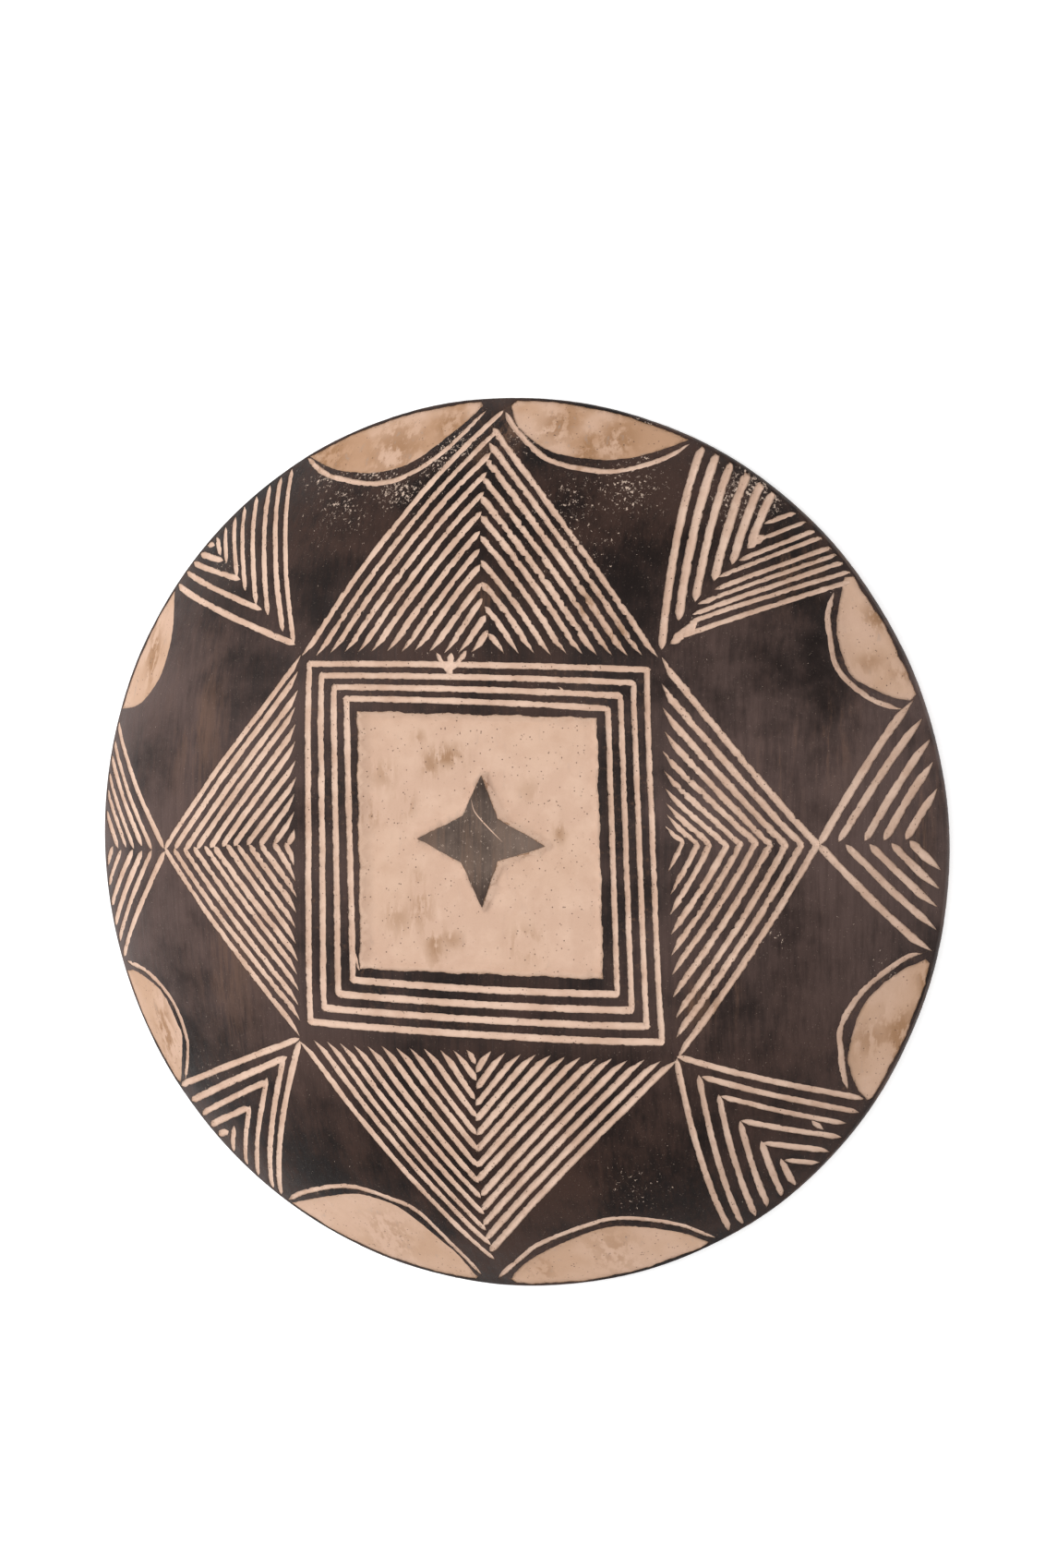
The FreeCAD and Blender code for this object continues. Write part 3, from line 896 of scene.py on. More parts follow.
@dataclass
class CarvedFace:
    """The carved face: wood around the cuts, and one clay piece for each of the part's clay nodes."""

    dome: Dome
    nests: tuple[Nest, ...]
    frame_lines: FrameLines
    scallops: tuple[Scallop, ...]
    panel: StarPanel
    wood: StainedWood
    star_wood: StainedWood
    clay: PaleClay
    rng: np.random.Generator
    edge_radius: float = FACE_EDGE
    edge_count: int = EDGE_COUNT
    grid: float = 3.1
    wood_drop: float = 0.14
    wall_drop: float = 1.5
    clay_rise: float = 0.42
    groove: float = 1.15
    groove_slope: float = 0.75
    field_depth: float = 2.1
    field_slope: float = 2.4
    rim_slope: float = 0.12
    wood_marks: tuple[Blot, ...] = ()
    chalk_marks: tuple[Blot, ...] = ()
    clay_marks: tuple[Blot, ...] = ()
    rings: list[tuple[str, np.ndarray]] = field(default_factory=list)
    loose: list[np.ndarray] = field(default_factory=list)
    ridges: list[np.ndarray] = field(default_factory=list)

    def add_runs(self, node: str, runs: Iterable[list[KnifeCut]]) -> None:
        """Draw runs of cuts, with points along the ridges between neighbours.

        Args:
            node: the part's node that the cuts belong to.
            runs: the runs of cuts.
        """
        for cuts in runs:
            last = None
            for cut in cuts:
                outline, floor = cut.shape(self.rng)
                self.rings.append((node, outline))
                self.loose.append(floor)
                line = curve([tuple(point) for point in cut.middle(20.0)], 1.45)
                if last is not None:
                    share = np.linspace(0, 1, max(len(line), len(last)))
                    both = [np.column_stack([np.interp(share, np.linspace(0, 1, len(way)), way[:, axis])
                                             for axis in (0, 1)]) for way in (line, last)]
                    self.ridges.append((both[0] + both[1]) / 2)
                last = line

    def inset(self, ring: np.ndarray, distance: float) -> np.ndarray:
        """Give points a set distance inside a ring.

        Args:
            ring: the ring's points in order.
            distance: the distance.

        Returns:
            The points found.
        """
        before, after = np.roll(ring, 2, axis=0), np.roll(ring, -2, axis=0)
        run = (after - before) / np.maximum(np.linalg.norm(after - before, axis=1), 1e-9)[:, None]
        square = np.column_stack([-run[:, 1], run[:, 0]])
        found = [ring + side * distance * square for side in (1, -1)]
        points = np.vstack(found)
        points = points[inside(points, ring)]
        return points[edge_distance(points, ring) > 0.85 * distance]

    def draw(self) -> None:
        """Draw every region of the plan, the ones that win where two meet first."""
        self.star = self.panel.star_ring(self.rng)
        self.panel_edge = self.panel.panel_ring(self.rng)
        self.panel_foot = self.panel.floor_ring(self.rng)
        self.rings += [("star", self.star), (self.panel.node, self.panel_edge)]
        self.loose += [self.panel_foot, self.inset(self.star, 1.2)]
        for number, node in enumerate(self.frame_lines.nodes):
            self.add_runs(node, self.frame_lines.runs(number, self.rng))
        for nest in self.nests:
            self.add_runs(nest.node, nest.runs(self.rng))
        for scallop in self.scallops:
            ring = scallop.field_ring(self.rng)
            self.rings.append((f"{scallop.name}_field", ring))
            self.loose.append(self.inset(ring, 2.4))
            if scallop.outline:
                self.add_runs(f"{scallop.name}_outline", [[scallop.cut()]])

    def grid_points(self) -> np.ndarray:
        """Spread points over the face, clear of the cuts and their edges.

        Returns:
            The plan points.
        """
        rows = int(self.edge_radius / (self.grid * 0.866))
        found = []
        for row in range(-rows, rows + 1):
            x = np.arange(-self.edge_radius, self.edge_radius, self.grid) + (row % 2) * self.grid / 2
            found.append(np.column_stack([x, np.full(len(x), row * self.grid * 0.866)]))
        points = np.vstack(found) + self.rng.normal(0, 0.3, (sum(map(len, found)), 2))
        points = points[np.linalg.norm(points, axis=1) < self.edge_radius - 1.2]
        taken = np.vstack([ring for _, ring in self.rings] + self.loose)
        tree = kdtree.KDTree(len(taken))
        for number, point in enumerate(taken):
            tree.insert((point[0], point[1], 0), number)
        tree.balance()
        clear = np.array([tree.find((x, y, 0))[2] > 1.15 for x, y in points])
        return points[clear]

    def triangulate(self) -> None:
        """Cut the plan into triangles along every drawn edge and sort them by region."""
        angle = np.linspace(0, 2 * math.pi, self.edge_count, endpoint=False)
        border = self.edge_radius * np.column_stack([np.cos(angle), np.sin(angle)])
        points, edges, start = [border], [], self.edge_count
        edges += [(k, (k + 1) % self.edge_count) for k in range(self.edge_count)]
        for _, ring in self.rings:
            points.append(ring)
            edges += [(start + k, start + (k + 1) % len(ring)) for k in range(len(ring))]
            start += len(ring)
        ridge = np.vstack(self.ridges)
        ridge = ridge[np.linalg.norm(ridge, axis=1) < self.edge_radius - 1]
        points += [*self.loose, ridge, self.grid_points()]
        flat = [Vector(point) for point in np.vstack(points).tolist()]
        found, _, faces, *_ = delaunay_2d_cdt(flat, edges, [], 0, 1e-4)
        self.plan = np.array([tuple(point) for point in found])
        self.faces = np.array([face for face in faces if len(face) == 3])
        centre = self.plan[self.faces].mean(axis=1)
        a, b, c = (self.plan[self.faces[:, k]] for k in range(3))
        area = np.cross(b - a, c - a)
        self.faces[area < 0] = self.faces[area < 0][:, ::-1]
        keep = np.abs(area) > 1e-7
        self.faces, centre = self.faces[keep], centre[keep]
        self.names = list(dict.fromkeys(name for name, _ in self.rings))
        self.region = np.full(len(self.faces), -1)
        for name, ring in self.rings:
            free = np.nonzero(self.region < 0)[0]
            hit = free[inside(centre[free], ring)]
            self.region[hit] = self.names.index(name)
        LOG.info("plan cut into %d triangles", len(self.faces))

    def part_of(self, region: int) -> tuple[np.ndarray, np.ndarray]:
        """Take one region's triangles.

        Args:
            region: the region's number, or -1 for the wood.

        Returns:
            The numbers of its plan points, and its triangles on those points.
        """
        faces = self.faces[self.region == region]
        used, renumbered = np.unique(faces, return_inverse=True)
        return used, renumbered.reshape(-1, 3)

    def border_edges(self, faces: np.ndarray) -> np.ndarray:
        """Find the directed edges that only one triangle has.

        Args:
            faces: the triangles.

        Returns:
            The edges, as pairs of point numbers.
        """
        edges = np.vstack([faces[:, [0, 1]], faces[:, [1, 2]], faces[:, [2, 0]]])
        code = np.sort(edges, axis=1)
        _, first, count = np.unique(code, axis=0, return_index=True, return_counts=True)
        return edges[first[count == 1]]

    def build_wood(self) -> bpy.types.Object:
        """Build the stained wood between the cuts, with the cuts' upright walls.

        Returns:
            The wooden face.
        """
        used, faces = self.part_of(-1)
        plan = self.plan[used]
        edges = self.border_edges(faces)
        edges = edges[np.linalg.norm(plan[edges].mean(axis=1), axis=1) < self.edge_radius - 0.3]
        rim = np.unique(edges)
        depth, wear = np.zeros(len(plan)), np.zeros(len(plan))
        depth[rim] = self.wood_drop + np.abs(self.rng.normal(0, 0.05, len(rim)))
        wear[rim] = 0.70
        brown = marks(self.wood_marks, plan)
        top_of = np.full(len(plan), -1)
        top_of[rim] = np.arange(len(rim))
        high, low = len(plan) + top_of, len(plan) + len(rim) + top_of
        walls = [(high[b], high[a], low[a], low[b]) for a, b in edges]

        def down(face: np.ndarray) -> np.ndarray:
            """Carry a mask of the face down the cuts' walls."""
            return np.concatenate([face, face[rim], face[rim]])

        wall = np.ones(len(rim))
        masks = {
            "wear": np.concatenate([wear + 0.12 * brown, 0.5 * wall, 0.3 * wall]),
            "brown": down(brown),
            "residue": down(marks(self.chalk_marks, plan)),
            "painted_sheen": down(painted_sheen_at(plan)),
            "wall": np.concatenate([np.zeros(len(plan)), 0.25 * wall, 0.8 * wall]),
        # Painted sheen strength, strongest to the left and right.
        }
        points = np.vstack([self.dome.lift(plan, depth), self.dome.lift(plan[rim], depth[rim]),
                            self.dome.lift(plan[rim], depth[rim] + self.wall_drop)])
        return make_piece("wood_face", points, [*faces.tolist(), *walls], masks, self.wood.material())

    def groove_depth(self, name: str, plan: np.ndarray) -> tuple[np.ndarray, np.ndarray]:
        """Work out how deep the clay lies at a region's points.

        Args:
            name: the region.
            plan: its plan points.

        Returns:
            The depth, and how near the region's edge each point is, from 1 down to 0.
        """
        depth = np.full(len(plan), self.clay_rise)
        near = np.ones(len(plan))
        if name == self.panel.node:
            foot = inside(plan, self.panel_foot)
            away = edge_distance(plan, self.panel_edge)
            wall = np.maximum(away + edge_distance(plan, self.panel_foot), 1e-3)
            depth = np.where(foot, self.panel.depth, self.clay_rise
                             + (self.panel.depth - self.clay_rise) * np.clip(away / wall, 0, 1) ** 0.9)
            depth = depth + foot * 0.10 * self.rng.normal(0, 1, len(plan))
            near = np.clip(1 - np.minimum(away, edge_distance(plan, self.star)) / 1.6, 0, 1)
            return depth, near
        is_field = name.endswith("_field")
        full, slope = (self.field_depth, self.field_slope) if is_field else (self.groove, self.groove_slope)
        for other, ring in self.rings:
            if other != name:
                continue
            within = inside(plan, ring)
            if not within.any():
                continue
            away = edge_distance(plan[within], ring)
            rise = self.clay_rise + (full - self.clay_rise) * np.clip(away / slope, 0, 1) ** 0.8
            if is_field:
                out = np.linalg.norm(plan[within], axis=1)
                climb = self.rim_slope * np.clip(FIELD_EDGE - out, 0, 30)
                rise = np.minimum(rise, self.clay_rise + climb)
            depth[within] = np.maximum(depth[within], rise)
            near[within] = np.minimum(near[within], np.clip(1 - away / 1.1, 0, 1))
        lump = 0.10 if is_field else 0.16
        return depth + (depth > self.clay_rise + 0.02) * self.rng.normal(0, lump, len(plan)), near

    def build_clay(self, name: str) -> bpy.types.Object:
        """Build the clay of one node.

        Args:
            name: the region and the part's node.

        Returns:
            The clay piece, shown in the node's place.
        """
        used, faces = self.part_of(self.names.index(name))
        plan = self.plan[used]
        depth, near = self.groove_depth(name, plan)
        edges = self.border_edges(faces)
        rim = np.unique(edges)
        depth[rim] = np.minimum(depth[rim], self.clay_rise)
        skirt_of = np.full(len(plan), -1)
        skirt_of[rim] = len(plan) + np.arange(len(rim))
        skirt = [(b, a, skirt_of[a], skirt_of[b]) for a, b in edges]
        full = np.vstack([plan, plan[rim]])
        deep = np.concatenate([depth, depth[rim] + 0.9])
        is_panel, is_field = name == self.panel.node, name.endswith("_field")
        browner = 1.35 if name.startswith("north") else 0.85
        shade = browner if is_field else 0.42 if is_panel else 0.0
        masks = {
            "fringe": np.concatenate([0.62 * near, np.full(len(rim), 0.7)]),
            "field": np.full(len(full), shade),
            "stain": marks(self.clay_marks, full),
        }
        item = make_piece(f"{name}_surface", self.dome.lift(full, deep), [*faces.tolist(), *skirt], masks,
                          self.clay_material)
        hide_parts(name)
        return item

    def star_normals(self, ring: np.ndarray) -> np.ndarray:
        """Find the way out from the star at points on its edge.

        Args:
            ring: the points.

        Returns:
            One direction per point, smoothed round the star's corners.
        """
        step = np.roll(self.star, -2, axis=0) - np.roll(self.star, 2, axis=0)
        square = np.column_stack([-step[:, 1], step[:, 0]]) / np.linalg.norm(step, axis=1)[:, None]
        for _ in range(3):
            square = (np.roll(square, 1, axis=0) + square + np.roll(square, -1, axis=0)) / 3
        return square[[np.argmin(((self.star - point) ** 2).sum(axis=1)) for point in ring]]

    def build_scratch(self) -> None:
        """Build the thin line of clay in the scratch across the star."""
        line = curve(self.panel.scratch, 1.0)
        half = self.panel.scratch_half * np.sin(np.linspace(0.12, math.pi - 0.12, len(line)))[:, None]
        both = np.vstack([line + normals_of(line) * half, line - normals_of(line) * half])
        faces = [(k, k + len(line), k + len(line) + 1, k + 1) for k in range(len(line) - 1)]
        masks = {"fringe": np.full(len(both), 0.45), "field": np.full(len(both), 0.5),
                 "stain": np.zeros(len(both))}
        scratch = make_piece("star_scratch", self.dome.lift(both, np.full(len(both), -0.04)), faces, masks,
                             self.clay_material)

    def build_star(self) -> bpy.types.Object:
        """Build the star left standing in the panel, with sides that spread towards its foot.

        Returns:
            The star.
        """
        used, faces = self.part_of(self.names.index("star"))
        plan = self.plan[used]
        edges = self.border_edges(faces)
        rim = np.unique(edges)
        depth = np.zeros(len(plan))
        depth[rim] = 0.30
        ring = plan[rim]
        out = self.star_normals(ring)
        index = np.full(len(plan), -1)
        index[rim] = np.arange(len(rim))
        count, turned = len(rim), index[edges]

        def side(levels: Sequence[Point], start: int) -> tuple[list[np.ndarray], list[tuple[int, ...]]]:
            """Run rings of points down the star's side, with the faces between them.

            Args:
                levels: the depth and the spread of each ring.
                start: the first ring's first point number.

            Returns:
                The rings, and the faces.
            """
            rings = [self.dome.lift(ring + out * spread, np.full(count, low)) for low, spread in levels]
            bands = [(start + k * count + b, start + k * count + a, start + (k + 1) * count + a,
                      start + (k + 1) * count + b) for k in range(len(levels) - 1) for a, b in turned]
            return rings, bands

        rings, bands = side(((0.30, 0.0), (0.9, 0.15), (1.7, 0.3)), len(plan))
        total = len(plan) + 3 * count
        # The star takes an even painted sheen of 0.80.
        masks = {"wear": np.concatenate([np.where(depth > 0, 0.80, 0.10), np.full(3 * count, 0.85)]),
                 "wall": np.concatenate([np.zeros(len(plan)), np.full(3 * count, 0.45)]),
                 "residue": np.full(total, 0.52), "painted_sheen": np.full(total, 0.80), "brown": np.full(total, 0.3)}
        top = make_piece("star", np.vstack([self.dome.lift(plan, depth), *rings]),
                         [*faces.tolist(), *bands], masks, self.star_wood.material())
        levels = ((1.1, 0.35), (2.4, 0.75), (self.panel.depth - 0.3, 1.3), (self.panel.depth + 0.4, 2.6))
        rings, bands = side(levels, 0)
        masks = {"fringe": np.repeat((0.75, 0.55, 0.35, 0.1), count), "field": np.full(4 * count, 0.45),
                 "stain": np.repeat((0.6, 0.35, 0.2, 0.0), count)}
        skirt = make_piece("star_foot", np.vstack(rings), bands, masks, self.clay_material)
        self.build_scratch()
        return top

    def build(self) -> list[bpy.types.Object]:
        """Build the whole face.

        Returns:
            Its wooden pieces.
        """
        self.draw()
        self.triangulate()
        self.clay_material = self.clay.material()
        for name in self.names:
            if name != "star":
                item = self.build_clay(name)
                LOG.info("%s: %d faces", item.name, len(item.data.polygons))
        return [self.build_wood(), self.build_star()]


@dataclass
class RimAndHollow:
    """The low lip, the flat rim that the bowl stands on, and the adzed hollow under the dome."""

    dome: Dome
    wood: StainedWood
    rng: np.random.Generator
    edge_radius: float = FACE_EDGE
    edge_count: int = EDGE_COUNT
    worn_rows: int = 5
    dimples: int = 520
    dimple_depth: float = 1.1
    dimple_radius: float = 8.5
    dimple_stretch: float = 0.6
    hollow_rings: int = 76

    def hollow_height(self, radius: np.ndarray) -> np.ndarray:
        """Give the hollow's height at a radius.

        Args:
            radius: distances from the bowl's axis.

        Returns:
            One height per distance.
        """
        size = self.dome.shoulder - self.dome.wall
        out = np.clip(radius - self.dome.flat_radius, 0, size * 0.999)
        return self.dome.height - self.dome.shoulder + np.sqrt(size ** 2 - out ** 2)

    def inner_radius(self) -> float:
        """Find the radius at which the hollow reaches the flat rim."""
        drop = self.dome.shoulder - self.dome.height
        return self.dome.flat_radius + math.sqrt((self.dome.shoulder - self.dome.wall) ** 2 - drop ** 2)

    def rim_rows(self, angle: np.ndarray) -> list[np.ndarray]:
        """Draw the rim from the face's edge, round the lip and across the flat that it stands on.

        Args:
            angle: the directions of the rim's points.

        Returns:
            Rings of points in millimetres.
        """
        around = np.column_stack([np.cos(angle), np.sin(angle)])
        rows = [self.dome.lift(self.edge_radius * around, np.zeros(len(angle))) / MM]
        profile = ((224.85, self.dome.lip), (225.05, 5.0), (225.1, 3.0), (225.0, 1.0), (224.3, 0.15),
                   (223.0, 0.0), (218.0, 0.0), (213.4, 0.05), (self.inner_radius(), 0.7))
        for number, (radius, level) in enumerate(profile):
            worn = (0.16 * np.sin(7 * angle + 1) + 0.10 * np.sin(19 * angle)
                    + self.rng.normal(0, 0.03, len(angle)))
            reach = radius - 0.2 + (worn if number < self.worn_rows else 0)
            rise = level + (np.abs(worn) * 0.5 if level > 0 else 0)
            rows.append(np.column_stack([reach * np.cos(angle), reach * np.sin(angle),
                                         np.zeros(len(angle)) + rise]))
        return rows

    def hollow_rows(self, angle: np.ndarray) -> list[np.ndarray]:
        """Draw the hollow from the rim inward, with the scoops of an adze.

        Args:
            angle: the directions of each ring's points.

        Returns:
            Rings of points in millimetres.
        """
        inner = self.inner_radius()
        spots = self.rng.uniform(-1, 1, (self.dimples * 2, 2)) * inner
        spots = spots[np.linalg.norm(spots, axis=1) < inner][:self.dimples]
        tree = kdtree.KDTree(len(spots))
        for number, (x, y) in enumerate(spots):
            tree.insert((x, y * self.dimple_stretch, 0), number)
        tree.balance()
        rows = []
        for radius in np.linspace(inner - 1.2, 3.0, self.hollow_rings):
            ring = radius * np.column_stack([np.cos(angle), np.sin(angle)])
            gap = np.array([tree.find((x, y * self.dimple_stretch, 0))[2] for x, y in ring])
            scoop = self.dimple_depth * np.clip(1 - (gap / self.dimple_radius) ** 2, -0.6, 1)
            level = self.hollow_height(np.full(len(angle), radius)) + scoop * min(1, (inner - radius) / 8)
            rows.append(np.column_stack([ring, level]))
        return rows

    def build(self) -> bpy.types.Object:
        """Build the rim and hollow as one piece.

        Returns:
            The piece.
        """
        angle = np.linspace(0, 2 * math.pi, self.edge_count, endpoint=False)
        rows = self.rim_rows(angle) + self.hollow_rows(angle)
        points = np.vstack(rows) * MM
        count, centre = self.edge_count, len(points)
        last = (len(rows) - 1) * count
        faces = []
        for start in range(0, last, count):
            for k in range(count):
                nearby = (k + 1) % count
                faces.append((start + count + k, start + count + nearby, start + nearby, start + k))
        faces += [(last + (k + 1) % count, last + k, centre) for k in range(count)]
        points = np.vstack([points, [[0, 0, points[last:, 2].mean()]]])
        total = len(points)
        wear = np.full(total, 0.30)
        wear[count:count * 5] = 0.66
        wear[count * 5:count * 10] = 0.75
        # The rim and hollow take the same painted sheen as the face.
        masks = {"wear": wear, "residue": np.full(total, 0.12), "painted_sheen": painted_sheen_at(points[:, :2] / MM),
                 "wall": np.zeros(total), "brown": np.full(total, 0.25)}
        return make_piece("rim_and_hollow", points, faces, masks, self.wood.material())


# ------------------------------------------------------------------------------- the setting
@dataclass(frozen=True)
class Studio:
    """A pale floor, an even white room, one soft lamp from the left and the camera."""

    tilt: float = 19.736
    heading: float = 13.359
    distance: float = 2.0
    aim: float = 0.030
    lens: float = 91.93
    shift: Point = (0.0176, 0.0412)
    sensor: float = 36.0
    floor_side: float = 12.0
    room_strength: float = 0.86
    lamp_place: tuple[float, float, float] = (-1.42, 0.35, 2.0)
    lamp_size: float = 1.0
    lamp_power: float = 26.0

    def floor(self) -> None:
        """Lay the floor."""
        side = self.floor_side
        corners = [(-side, -side, 0), (side, -side, 0), (side, side, 0), (-side, side, 0)]
        mesh = bpy.data.meshes.new("floor")
        mesh.from_pydata(corners, [], [(0, 1, 2, 3)])
        mesh.materials.append(PaleFloor().material())
        item = bpy.data.objects.new("floor", mesh)
        item.location.z = -0.0004
        bpy.context.scene.collection.objects.link(item)

    def light(self) -> None:
        """Set the room's light and the lamp."""
        world = bpy.data.worlds.new("room")
        world.use_nodes = True
        back = world.node_tree.nodes["Background"]
        back.inputs["Color"].default_value = (1.0, 1.0, 1.0, 1.0)
        back.inputs["Strength"].default_value = self.room_strength
        bpy.context.scene.world = world
        lamp = bpy.data.lights.new("soft_lamp", "AREA")
        lamp.shape, lamp.size, lamp.energy = "DISK", self.lamp_size, self.lamp_power
        item = bpy.data.objects.new("soft_lamp", lamp)
        item.location = self.lamp_place
        item.rotation_euler = (Vector((0, 0, 0.05)) - item.location).to_track_quat("-Z", "Y").to_euler()
        bpy.context.scene.collection.objects.link(item)

    def camera(self) -> None:
        """Place the camera over the bowl, a little to its right."""
        tilt, heading = math.radians(self.tilt), math.radians(self.heading)
        back = Vector((math.sin(tilt) * math.cos(heading), math.sin(tilt) * math.sin(heading),
                       math.cos(tilt)))
        right = Vector((0, 1, 0)).cross(back).normalized()
        up = back.cross(right)
        lens = bpy.data.cameras.new("camera")
        lens.lens, lens.sensor_width, lens.sensor_fit = self.lens, self.sensor, "AUTO"
        lens.shift_x, lens.shift_y = self.shift
        item = bpy.data.objects.new("camera", lens)
        turn = Matrix((right, up, back)).transposed().to_4x4()
        item.matrix_world = Matrix.Translation(back * self.distance + Vector((0, 0, self.aim))) @ turn
        bpy.context.scene.collection.objects.link(item)
        bpy.context.scene.camera = item

    def build(self) -> None:
        """Set everything around the bowl."""
        self.floor()
        self.light()
        self.camera()
        bpy.context.scene.view_settings.view_transform = "Standard"


# ------------------------------------------------------------------------------- the motif
NESTS = (
    Nest("north_chevrons", fans=(
        Fan(13, ((-1, 219), (-88, 95)), ((10, 110), (2.5, 98)), ((2.5, 159), (-42, 98)),
            lean=-0.8, bow=(-2, 0), width=3.25, ragged=0.85),
        Fan(11, ((-3, 210), (94.5, 97)), ((10, 109), (17, 98)), ((0.5, 166), (57, 97.5)),
            lean=0.8, bow=(4, 1), width=3.15, ragged=1.2))),
    Nest("south_chevrons", fans=(
        Fan(13, ((-2, -209), (-90, -95)), ((4, -104), (0, -96)), lean=0.8, width=3.3, ragged=0.5),
        Fan(13, ((-3, -205), (104, -97)), ((4, -108), (10.5, -96)), lean=-0.8, width=3.4, ragged=0.5))),
    Nest("east_chevrons", fans=(
        Fan(10, ((172.5, 6.8), (96, 97)), ((110, 7.4), (100, 16)), ((141.5, 7.2), (99, 47)), lean=-0.8,
            width=3.6, ragged=1.15, point=1.0, taper=0.28),
        Fan(10, ((172.5, 9.2), (105, -97)), ((110, 9.4), (101.5, -6)), lean=0.5, bow=(3, 0.5), width=3.5,
            point=1.0, taper=0.15))),
    Nest("west_chevrons", fans=(
        Fan(11, ((-170.5, -3.4), (-89, 97)), ((-96, 2.8), (-91, 10)), lean=0.8, width=3.2,
            point=1.8, ragged=0.5),
        Fan(12, ((-170.5, -2.6), (-89, -94)), ((-97, 4.2), (-90.5, -8)), lean=-0.8, width=3.2,
            point=1.8, ragged=0.8))),
    Nest("west_rim_chevrons", lines=(
        ((-170.5, -3), (-217, 60)), ((-180, -4), (-219, 50)), ((-188, -3), (-221, 43)),
        ((-195, -5), (-222, 33)), ((-202, -5), (-222.5, 24)), ((-210, -6), (-222.7, 13)),
        ((-170, -4), (-213, -64)), ((-180, -4), (-216, -56)), ((-188, -5), (-219, -48)),
        ((-196, -5), (-221, -38)), ((-207, -6), (-222, -27)), ((-215, -5), (-222.6, -16))),
        width=3.7, foot=3.0),
    Nest("east_rim_chevrons", lines=(
        ((172.5, 7.5), (208, 77)), ((181, 9), (212.5, 68)), ((192, 9), (216, 58)), ((200, 9), (218, 47)),
        ((209, 9), (220.5, 34)), ((172, 8.5), (218, -47)), ((184, 8), (221, -36)), ((194, 8), (221, -25)),
        ((203, 8), (222, -16)), ((210.5, 9), (222.5, -7))), width=3.7, foot=9.0),
    Nest("northeast_chevrons", lines=(
        ((97, 101), (100.5, 201.5)), ((104, 115), (108, 199)), ((111, 124), (115.5, 194.5)),
        ((118.5, 134), (124, 190)), ((125.5, 142), (131, 185)), ((132, 151), (137, 180)),
        ((104, 107), (177, 134)), ((109, 114.5), (179.5, 140)), ((110, 118), (176, 144.5)),
        ((112, 123), (172, 148)), ((119, 130), (170, 152)), ((120, 136), (165, 157)),
        ((128, 144), (161, 160)), ((135, 154), (155, 163.5)), ((136, 162), (150, 168))),
        patches=((((101, 104), (113, 115)), 4.4), (((131, 150), (137.5, 157)), 4.6)),
        width=2.5, foot=2.6, ragged=0.7, broad=6),
    Nest("northwest_chevrons", lines=(
        ((-94, 102), (-118, 192)), ((-101, 108), (-124, 187)), ((-111, 116), (-130, 183)),
        ((-119, 121), (-137, 177)), ((-127.5, 128), (-144, 172)), ((-135, 135), (-149, 166)),
        ((-145, 142), (-154, 161)), ((-151, 146), (-159, 156)), ((-93, 102), (-183, 131)),
        ((-115, 119), (-179, 138)), ((-132, 134), (-175, 142.5)), ((-148, 143.5), (-171, 147)),
        ((-158, 151), (-168, 152))), width=3.1, foot=3.5),
    Nest("southwest_chevrons", lines=(
        ((-91, -95), (-183, -131)), ((-99, -105), (-177, -139)), ((-113, -119), (-170, -145)),
        ((-129, -135), (-166, -151)), ((-149, -151), (-162, -156)), ((-91, -96), (-126, -187)),
        ((-101, -105), (-131, -184)), ((-113, -117), (-139, -178)), ((-128, -134), (-146, -173)),
        ((-143, -147), (-153, -165))), width=3.6, foot=3.5),
    Nest("southeast_chevrons", lines=(
        ((105, -97), (117, -190)), ((115, -105), (123, -187)), ((123.5, -115), (130, -183)),
        ((132, -129), (136.5, -177)), ((140, -140), (144, -172)), ((147, -150), (150, -166)),
        ((105, -96), (186, -120)), ((116, -106), (183, -127)), ((124, -116), (177, -133)),
        ((132, -129), (174, -140)), ((140, -141), (168, -147)), ((148, -151), (163, -153.5)),
        ((163, -130), (167, -136))), width=3.2, foot=3.5),
)

SCALLOPS = (
    Scallop("north_northwest",
            ((-112, 197.5), (-93, 191), (-80, 188.5), (-60, 188), (-40, 194), (-20, 212), (-13, 221)),
            ((-110, 196), (-93, 187.5), (-75, 183.5), (-60, 182.5), (-45, 185.5), (-27, 197), (-10, 219)),
            width=2.7),
    Scallop("north_northeast",
            ((2, 221), (10, 210), (30, 197.5), (55, 193.5), (70, 194.5), (85, 199), (95, 204)),
            ((0, 218), (10, 208), (30, 193.5), (55, 188), (70, 189), (85, 194), (95, 201.5)), width=2.6),
    Scallop("east_northeast",
            ((174, 136), (174, 120), (175, 108), (182, 90), (190, 83.5), (200, 78), (207.5, 76)),
            ((171, 129), (170, 118), (172, 108), (177, 92), (190, 78.7), (200, 73.5), (205, 72)), width=2.4),
    Scallop("east_southeast",
            ((216, -50), (205, -56), (190, -71.3), (182, -95), (182, -105), (184, -115), (187, -121)),
            ((215, -47), (208, -49), (190, -64.6), (180, -82), (179, -95), (179, -105), (180, -115)),
            width=2.6),
    Scallop("south_southeast",
            ((106, -196), (95, -190.5), (72, -186.5), (55, -189), (25, -203), (10, -213), (2, -221)),
            ((110, -194), (95, -186), (72, -182), (55, -185), (25, -198), (10, -209), (-5, -221)), width=2.4),
    Scallop("south_southwest",
            ((-16, -221), (-24, -205), (-45, -184), (-60, -178), (-75, -177), (-105, -184.5), (-120, -189)),
            ((-13, -220), (-20, -207), (-35, -186), (-50, -178), (-75, -172.8), (-105, -180), (-122, -188)),
            width=2.7),
    Scallop("west_southwest",
            ((-212, -71), (-200, -70), (-180, -77.8), (-170, -95), (-169, -103), (-176, -121), (-181, -129)),
            ((-210, -65.5), (-190, -68.9), (-172, -82), (-165.5, -100), (-168, -113), (-175, -126)),
            width=2.7),
    Scallop("west_northwest",
            ((-216, 66), (-200, 67.8), (-190, 73.3), (-180, 86), (-176, 105), (-179, 118), (-183, 128))),
)

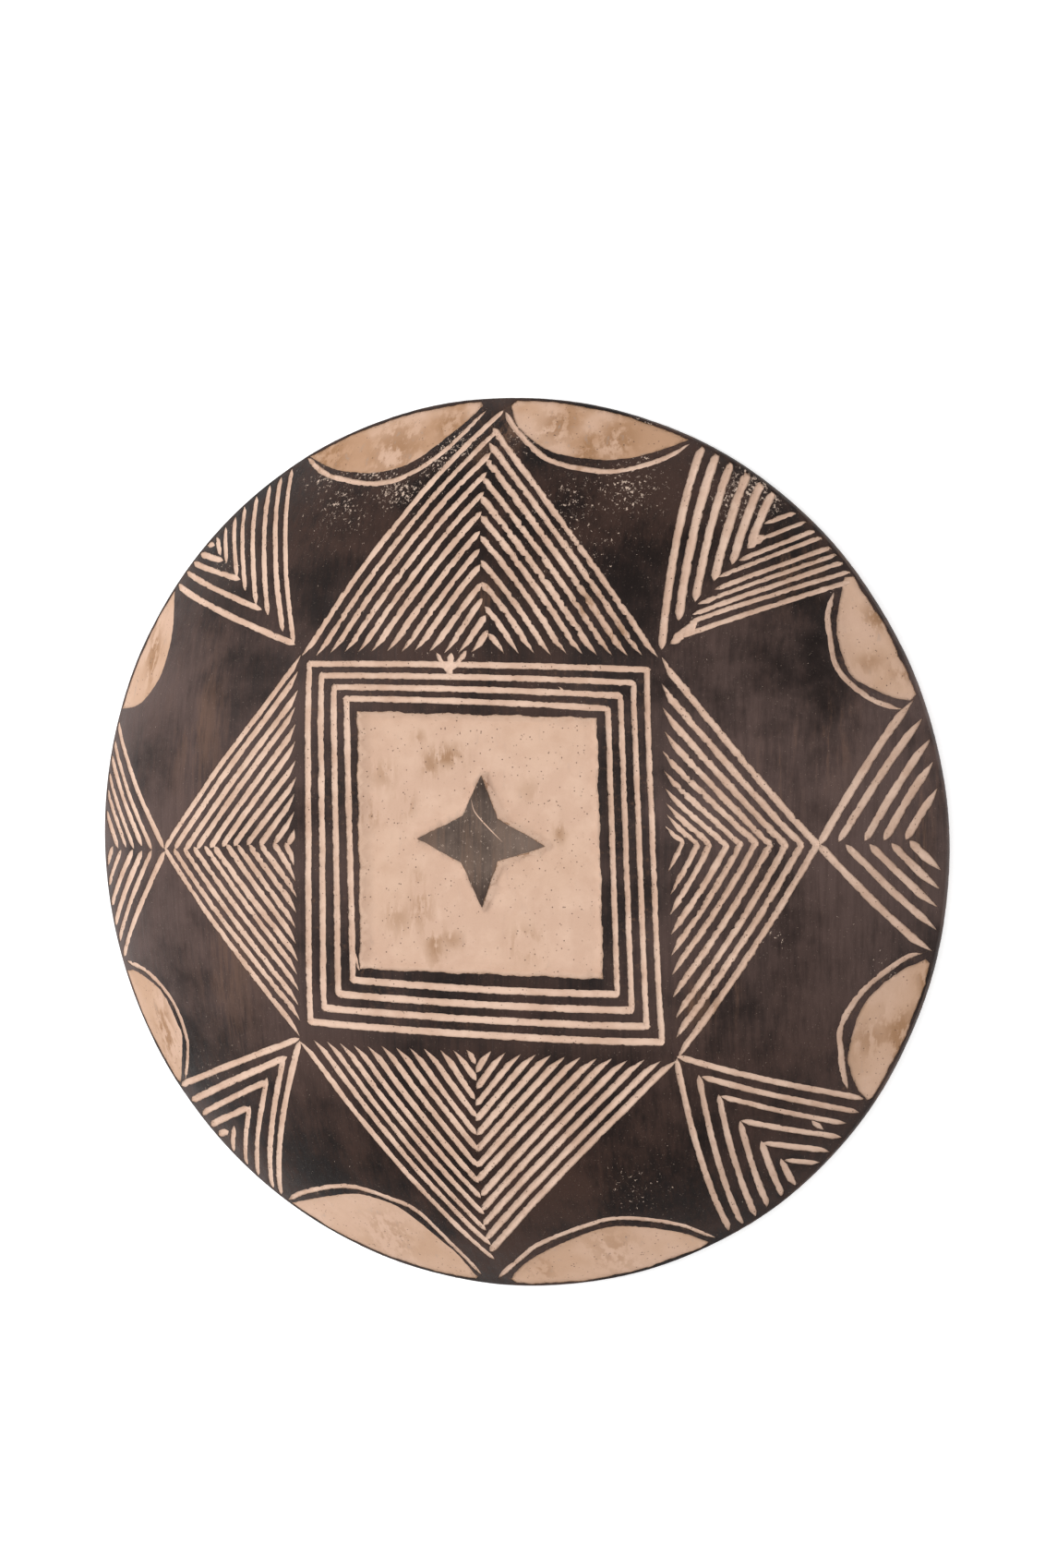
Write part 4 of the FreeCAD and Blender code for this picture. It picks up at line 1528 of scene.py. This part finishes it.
WOOD_MARKS = (
    Blot(155, 45, 8, 0.9, 2.2), Blot(115, -70, 9, 0.7), Blot(8, 124, 7, 0.5), Blot(5, 208, 9, 0.7),
    Blot(-2, 195, 7, 0.5), Blot(128, -66, 12, 0.5), Blot(175, 60, 10, 0.5, 2),
    Blot(-150, 60, 16, 0.5, 2), Blot(214, 20, 6, 0.5, 5), Blot(150, 140, 14, 0.5),
    Blot(-130, -60, 16, 0.4, 2))
CHALK_MARKS = (
    Blot(-45, 178, 20, 1.0, 0.55), Blot(-75, 170, 22, 0.7), Blot(-20, 200, 16, 0.9, 0.8),
    Blot(-90, 183, 16, 0.8, 0.5), Blot(-60, 186, 22, 0.9, 0.25), Blot(-28, 192, 14, 1.0, 0.5),
    Blot(14, 206, 12, 0.8), Blot(45, 172, 18, 0.75), Blot(72, 180, 20, 0.8),
    Blot(122, 178, 13, 1.0, 1.5), Blot(127, 184, 8, 1.6, 1.4), Blot(136, 172, 6, 1.4),
    Blot(110, 113, 5, 0.9), Blot(70, 210, 14, 0.6), Blot(155, -38, 8, 0.6), Blot(200, -55, 9, 0.5),
    Blot(60, 150, 20, 0.5), Blot(-145, 145, 16, 0.5), Blot(80, -165, 18, 0.45),
    Blot(-150, -120, 18, 0.4), Blot(0, 95, 30, 0.45, 0.2))
CLAY_MARKS = (
    Blot(-13, 48, 9, 0.75, 0.6), Blot(-21, 44, 5, 0.6, 1.5), Blot(-27, 57, 3, 0.5),
    Blot(-19, -45, 5, 0.65, 2), Blot(-10, -43, 6, 0.5, 0.8), Blot(-26, -28, 6, 0.5, 1.8),
    Blot(-38, -33, 8, 0.42), Blot(-35, 23, 6, 0.45), Blot(-52, 18, 7, 0.4), Blot(-46, 38, 7, 0.4),
    Blot(46, 11, 3, 0.6, 1.6), Blot(28, -43, 9, 0.4), Blot(30, 32, 6, 0.3), Blot(-28, -12, 4, 0.4),
    Blot(-55, 200, 14, 0.7), Blot(60, 203, 10, 0.8), Blot(48, 198, 5, 1.0, 2), Blot(-28, 212, 8, 0.7),
    Blot(10, 130, 6, 0.6), Blot(60, 122, 9, 0.6), Blot(75, 108, 8, 0.6), Blot(-95, 196, 12, 0.7),
    Blot(30, 212, 9, 0.7), Blot(192, 118, 7, 0.9), Blot(205, 92, 6, 0.8), Blot(190, 95, 5, 0.5),
    Blot(205, -90, 8, 0.8, 2), Blot(192, -90, 9, 0.5), Blot(217, -62, 4, 1.0, 2),
    Blot(128, -75, 10, 0.5), Blot(-185, -100, 7, 0.8, 2.5), Blot(-192, 95, 5, 0.8, 3),
    Blot(-60, -200, 14, 0.4), Blot(60, -203, 12, 0.4), Blot(20, -214, 6, 0.6))


def main() -> None:
    """Build the bowl, then its setting."""
    logging.basicConfig(level=logging.INFO, format="%(message)s")
    rng = np.random.default_rng(SEED)
    dome = Dome()
    face = CarvedFace(dome, NESTS, FrameLines(), SCALLOPS, StarPanel(), StainedWood("stained_wood"),
                      StainedWood("star_wood", deep=(0.026, 0.014, 0.010), light=(0.145, 0.093, 0.068),
                                  # The star's painted sheen is a lighter, browner grey.
                                  painted_sheen=(0.185, 0.136, 0.110), specks=0.55),
                      PaleClay("pale_clay"), rng, wood_marks=WOOD_MARKS, chalk_marks=CHALK_MARKS,
                      clay_marks=CLAY_MARKS)
    wooden = face.build()
    LOG.info("carved face: %d regions", len(face.names))
    wooden.append(RimAndHollow(dome, StainedWood("hollow_wood"), rng).build())
    LOG.info("rim and hollow built")
    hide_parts("carved_body")
    Studio().build()


if __name__ == "__main__":
    main()
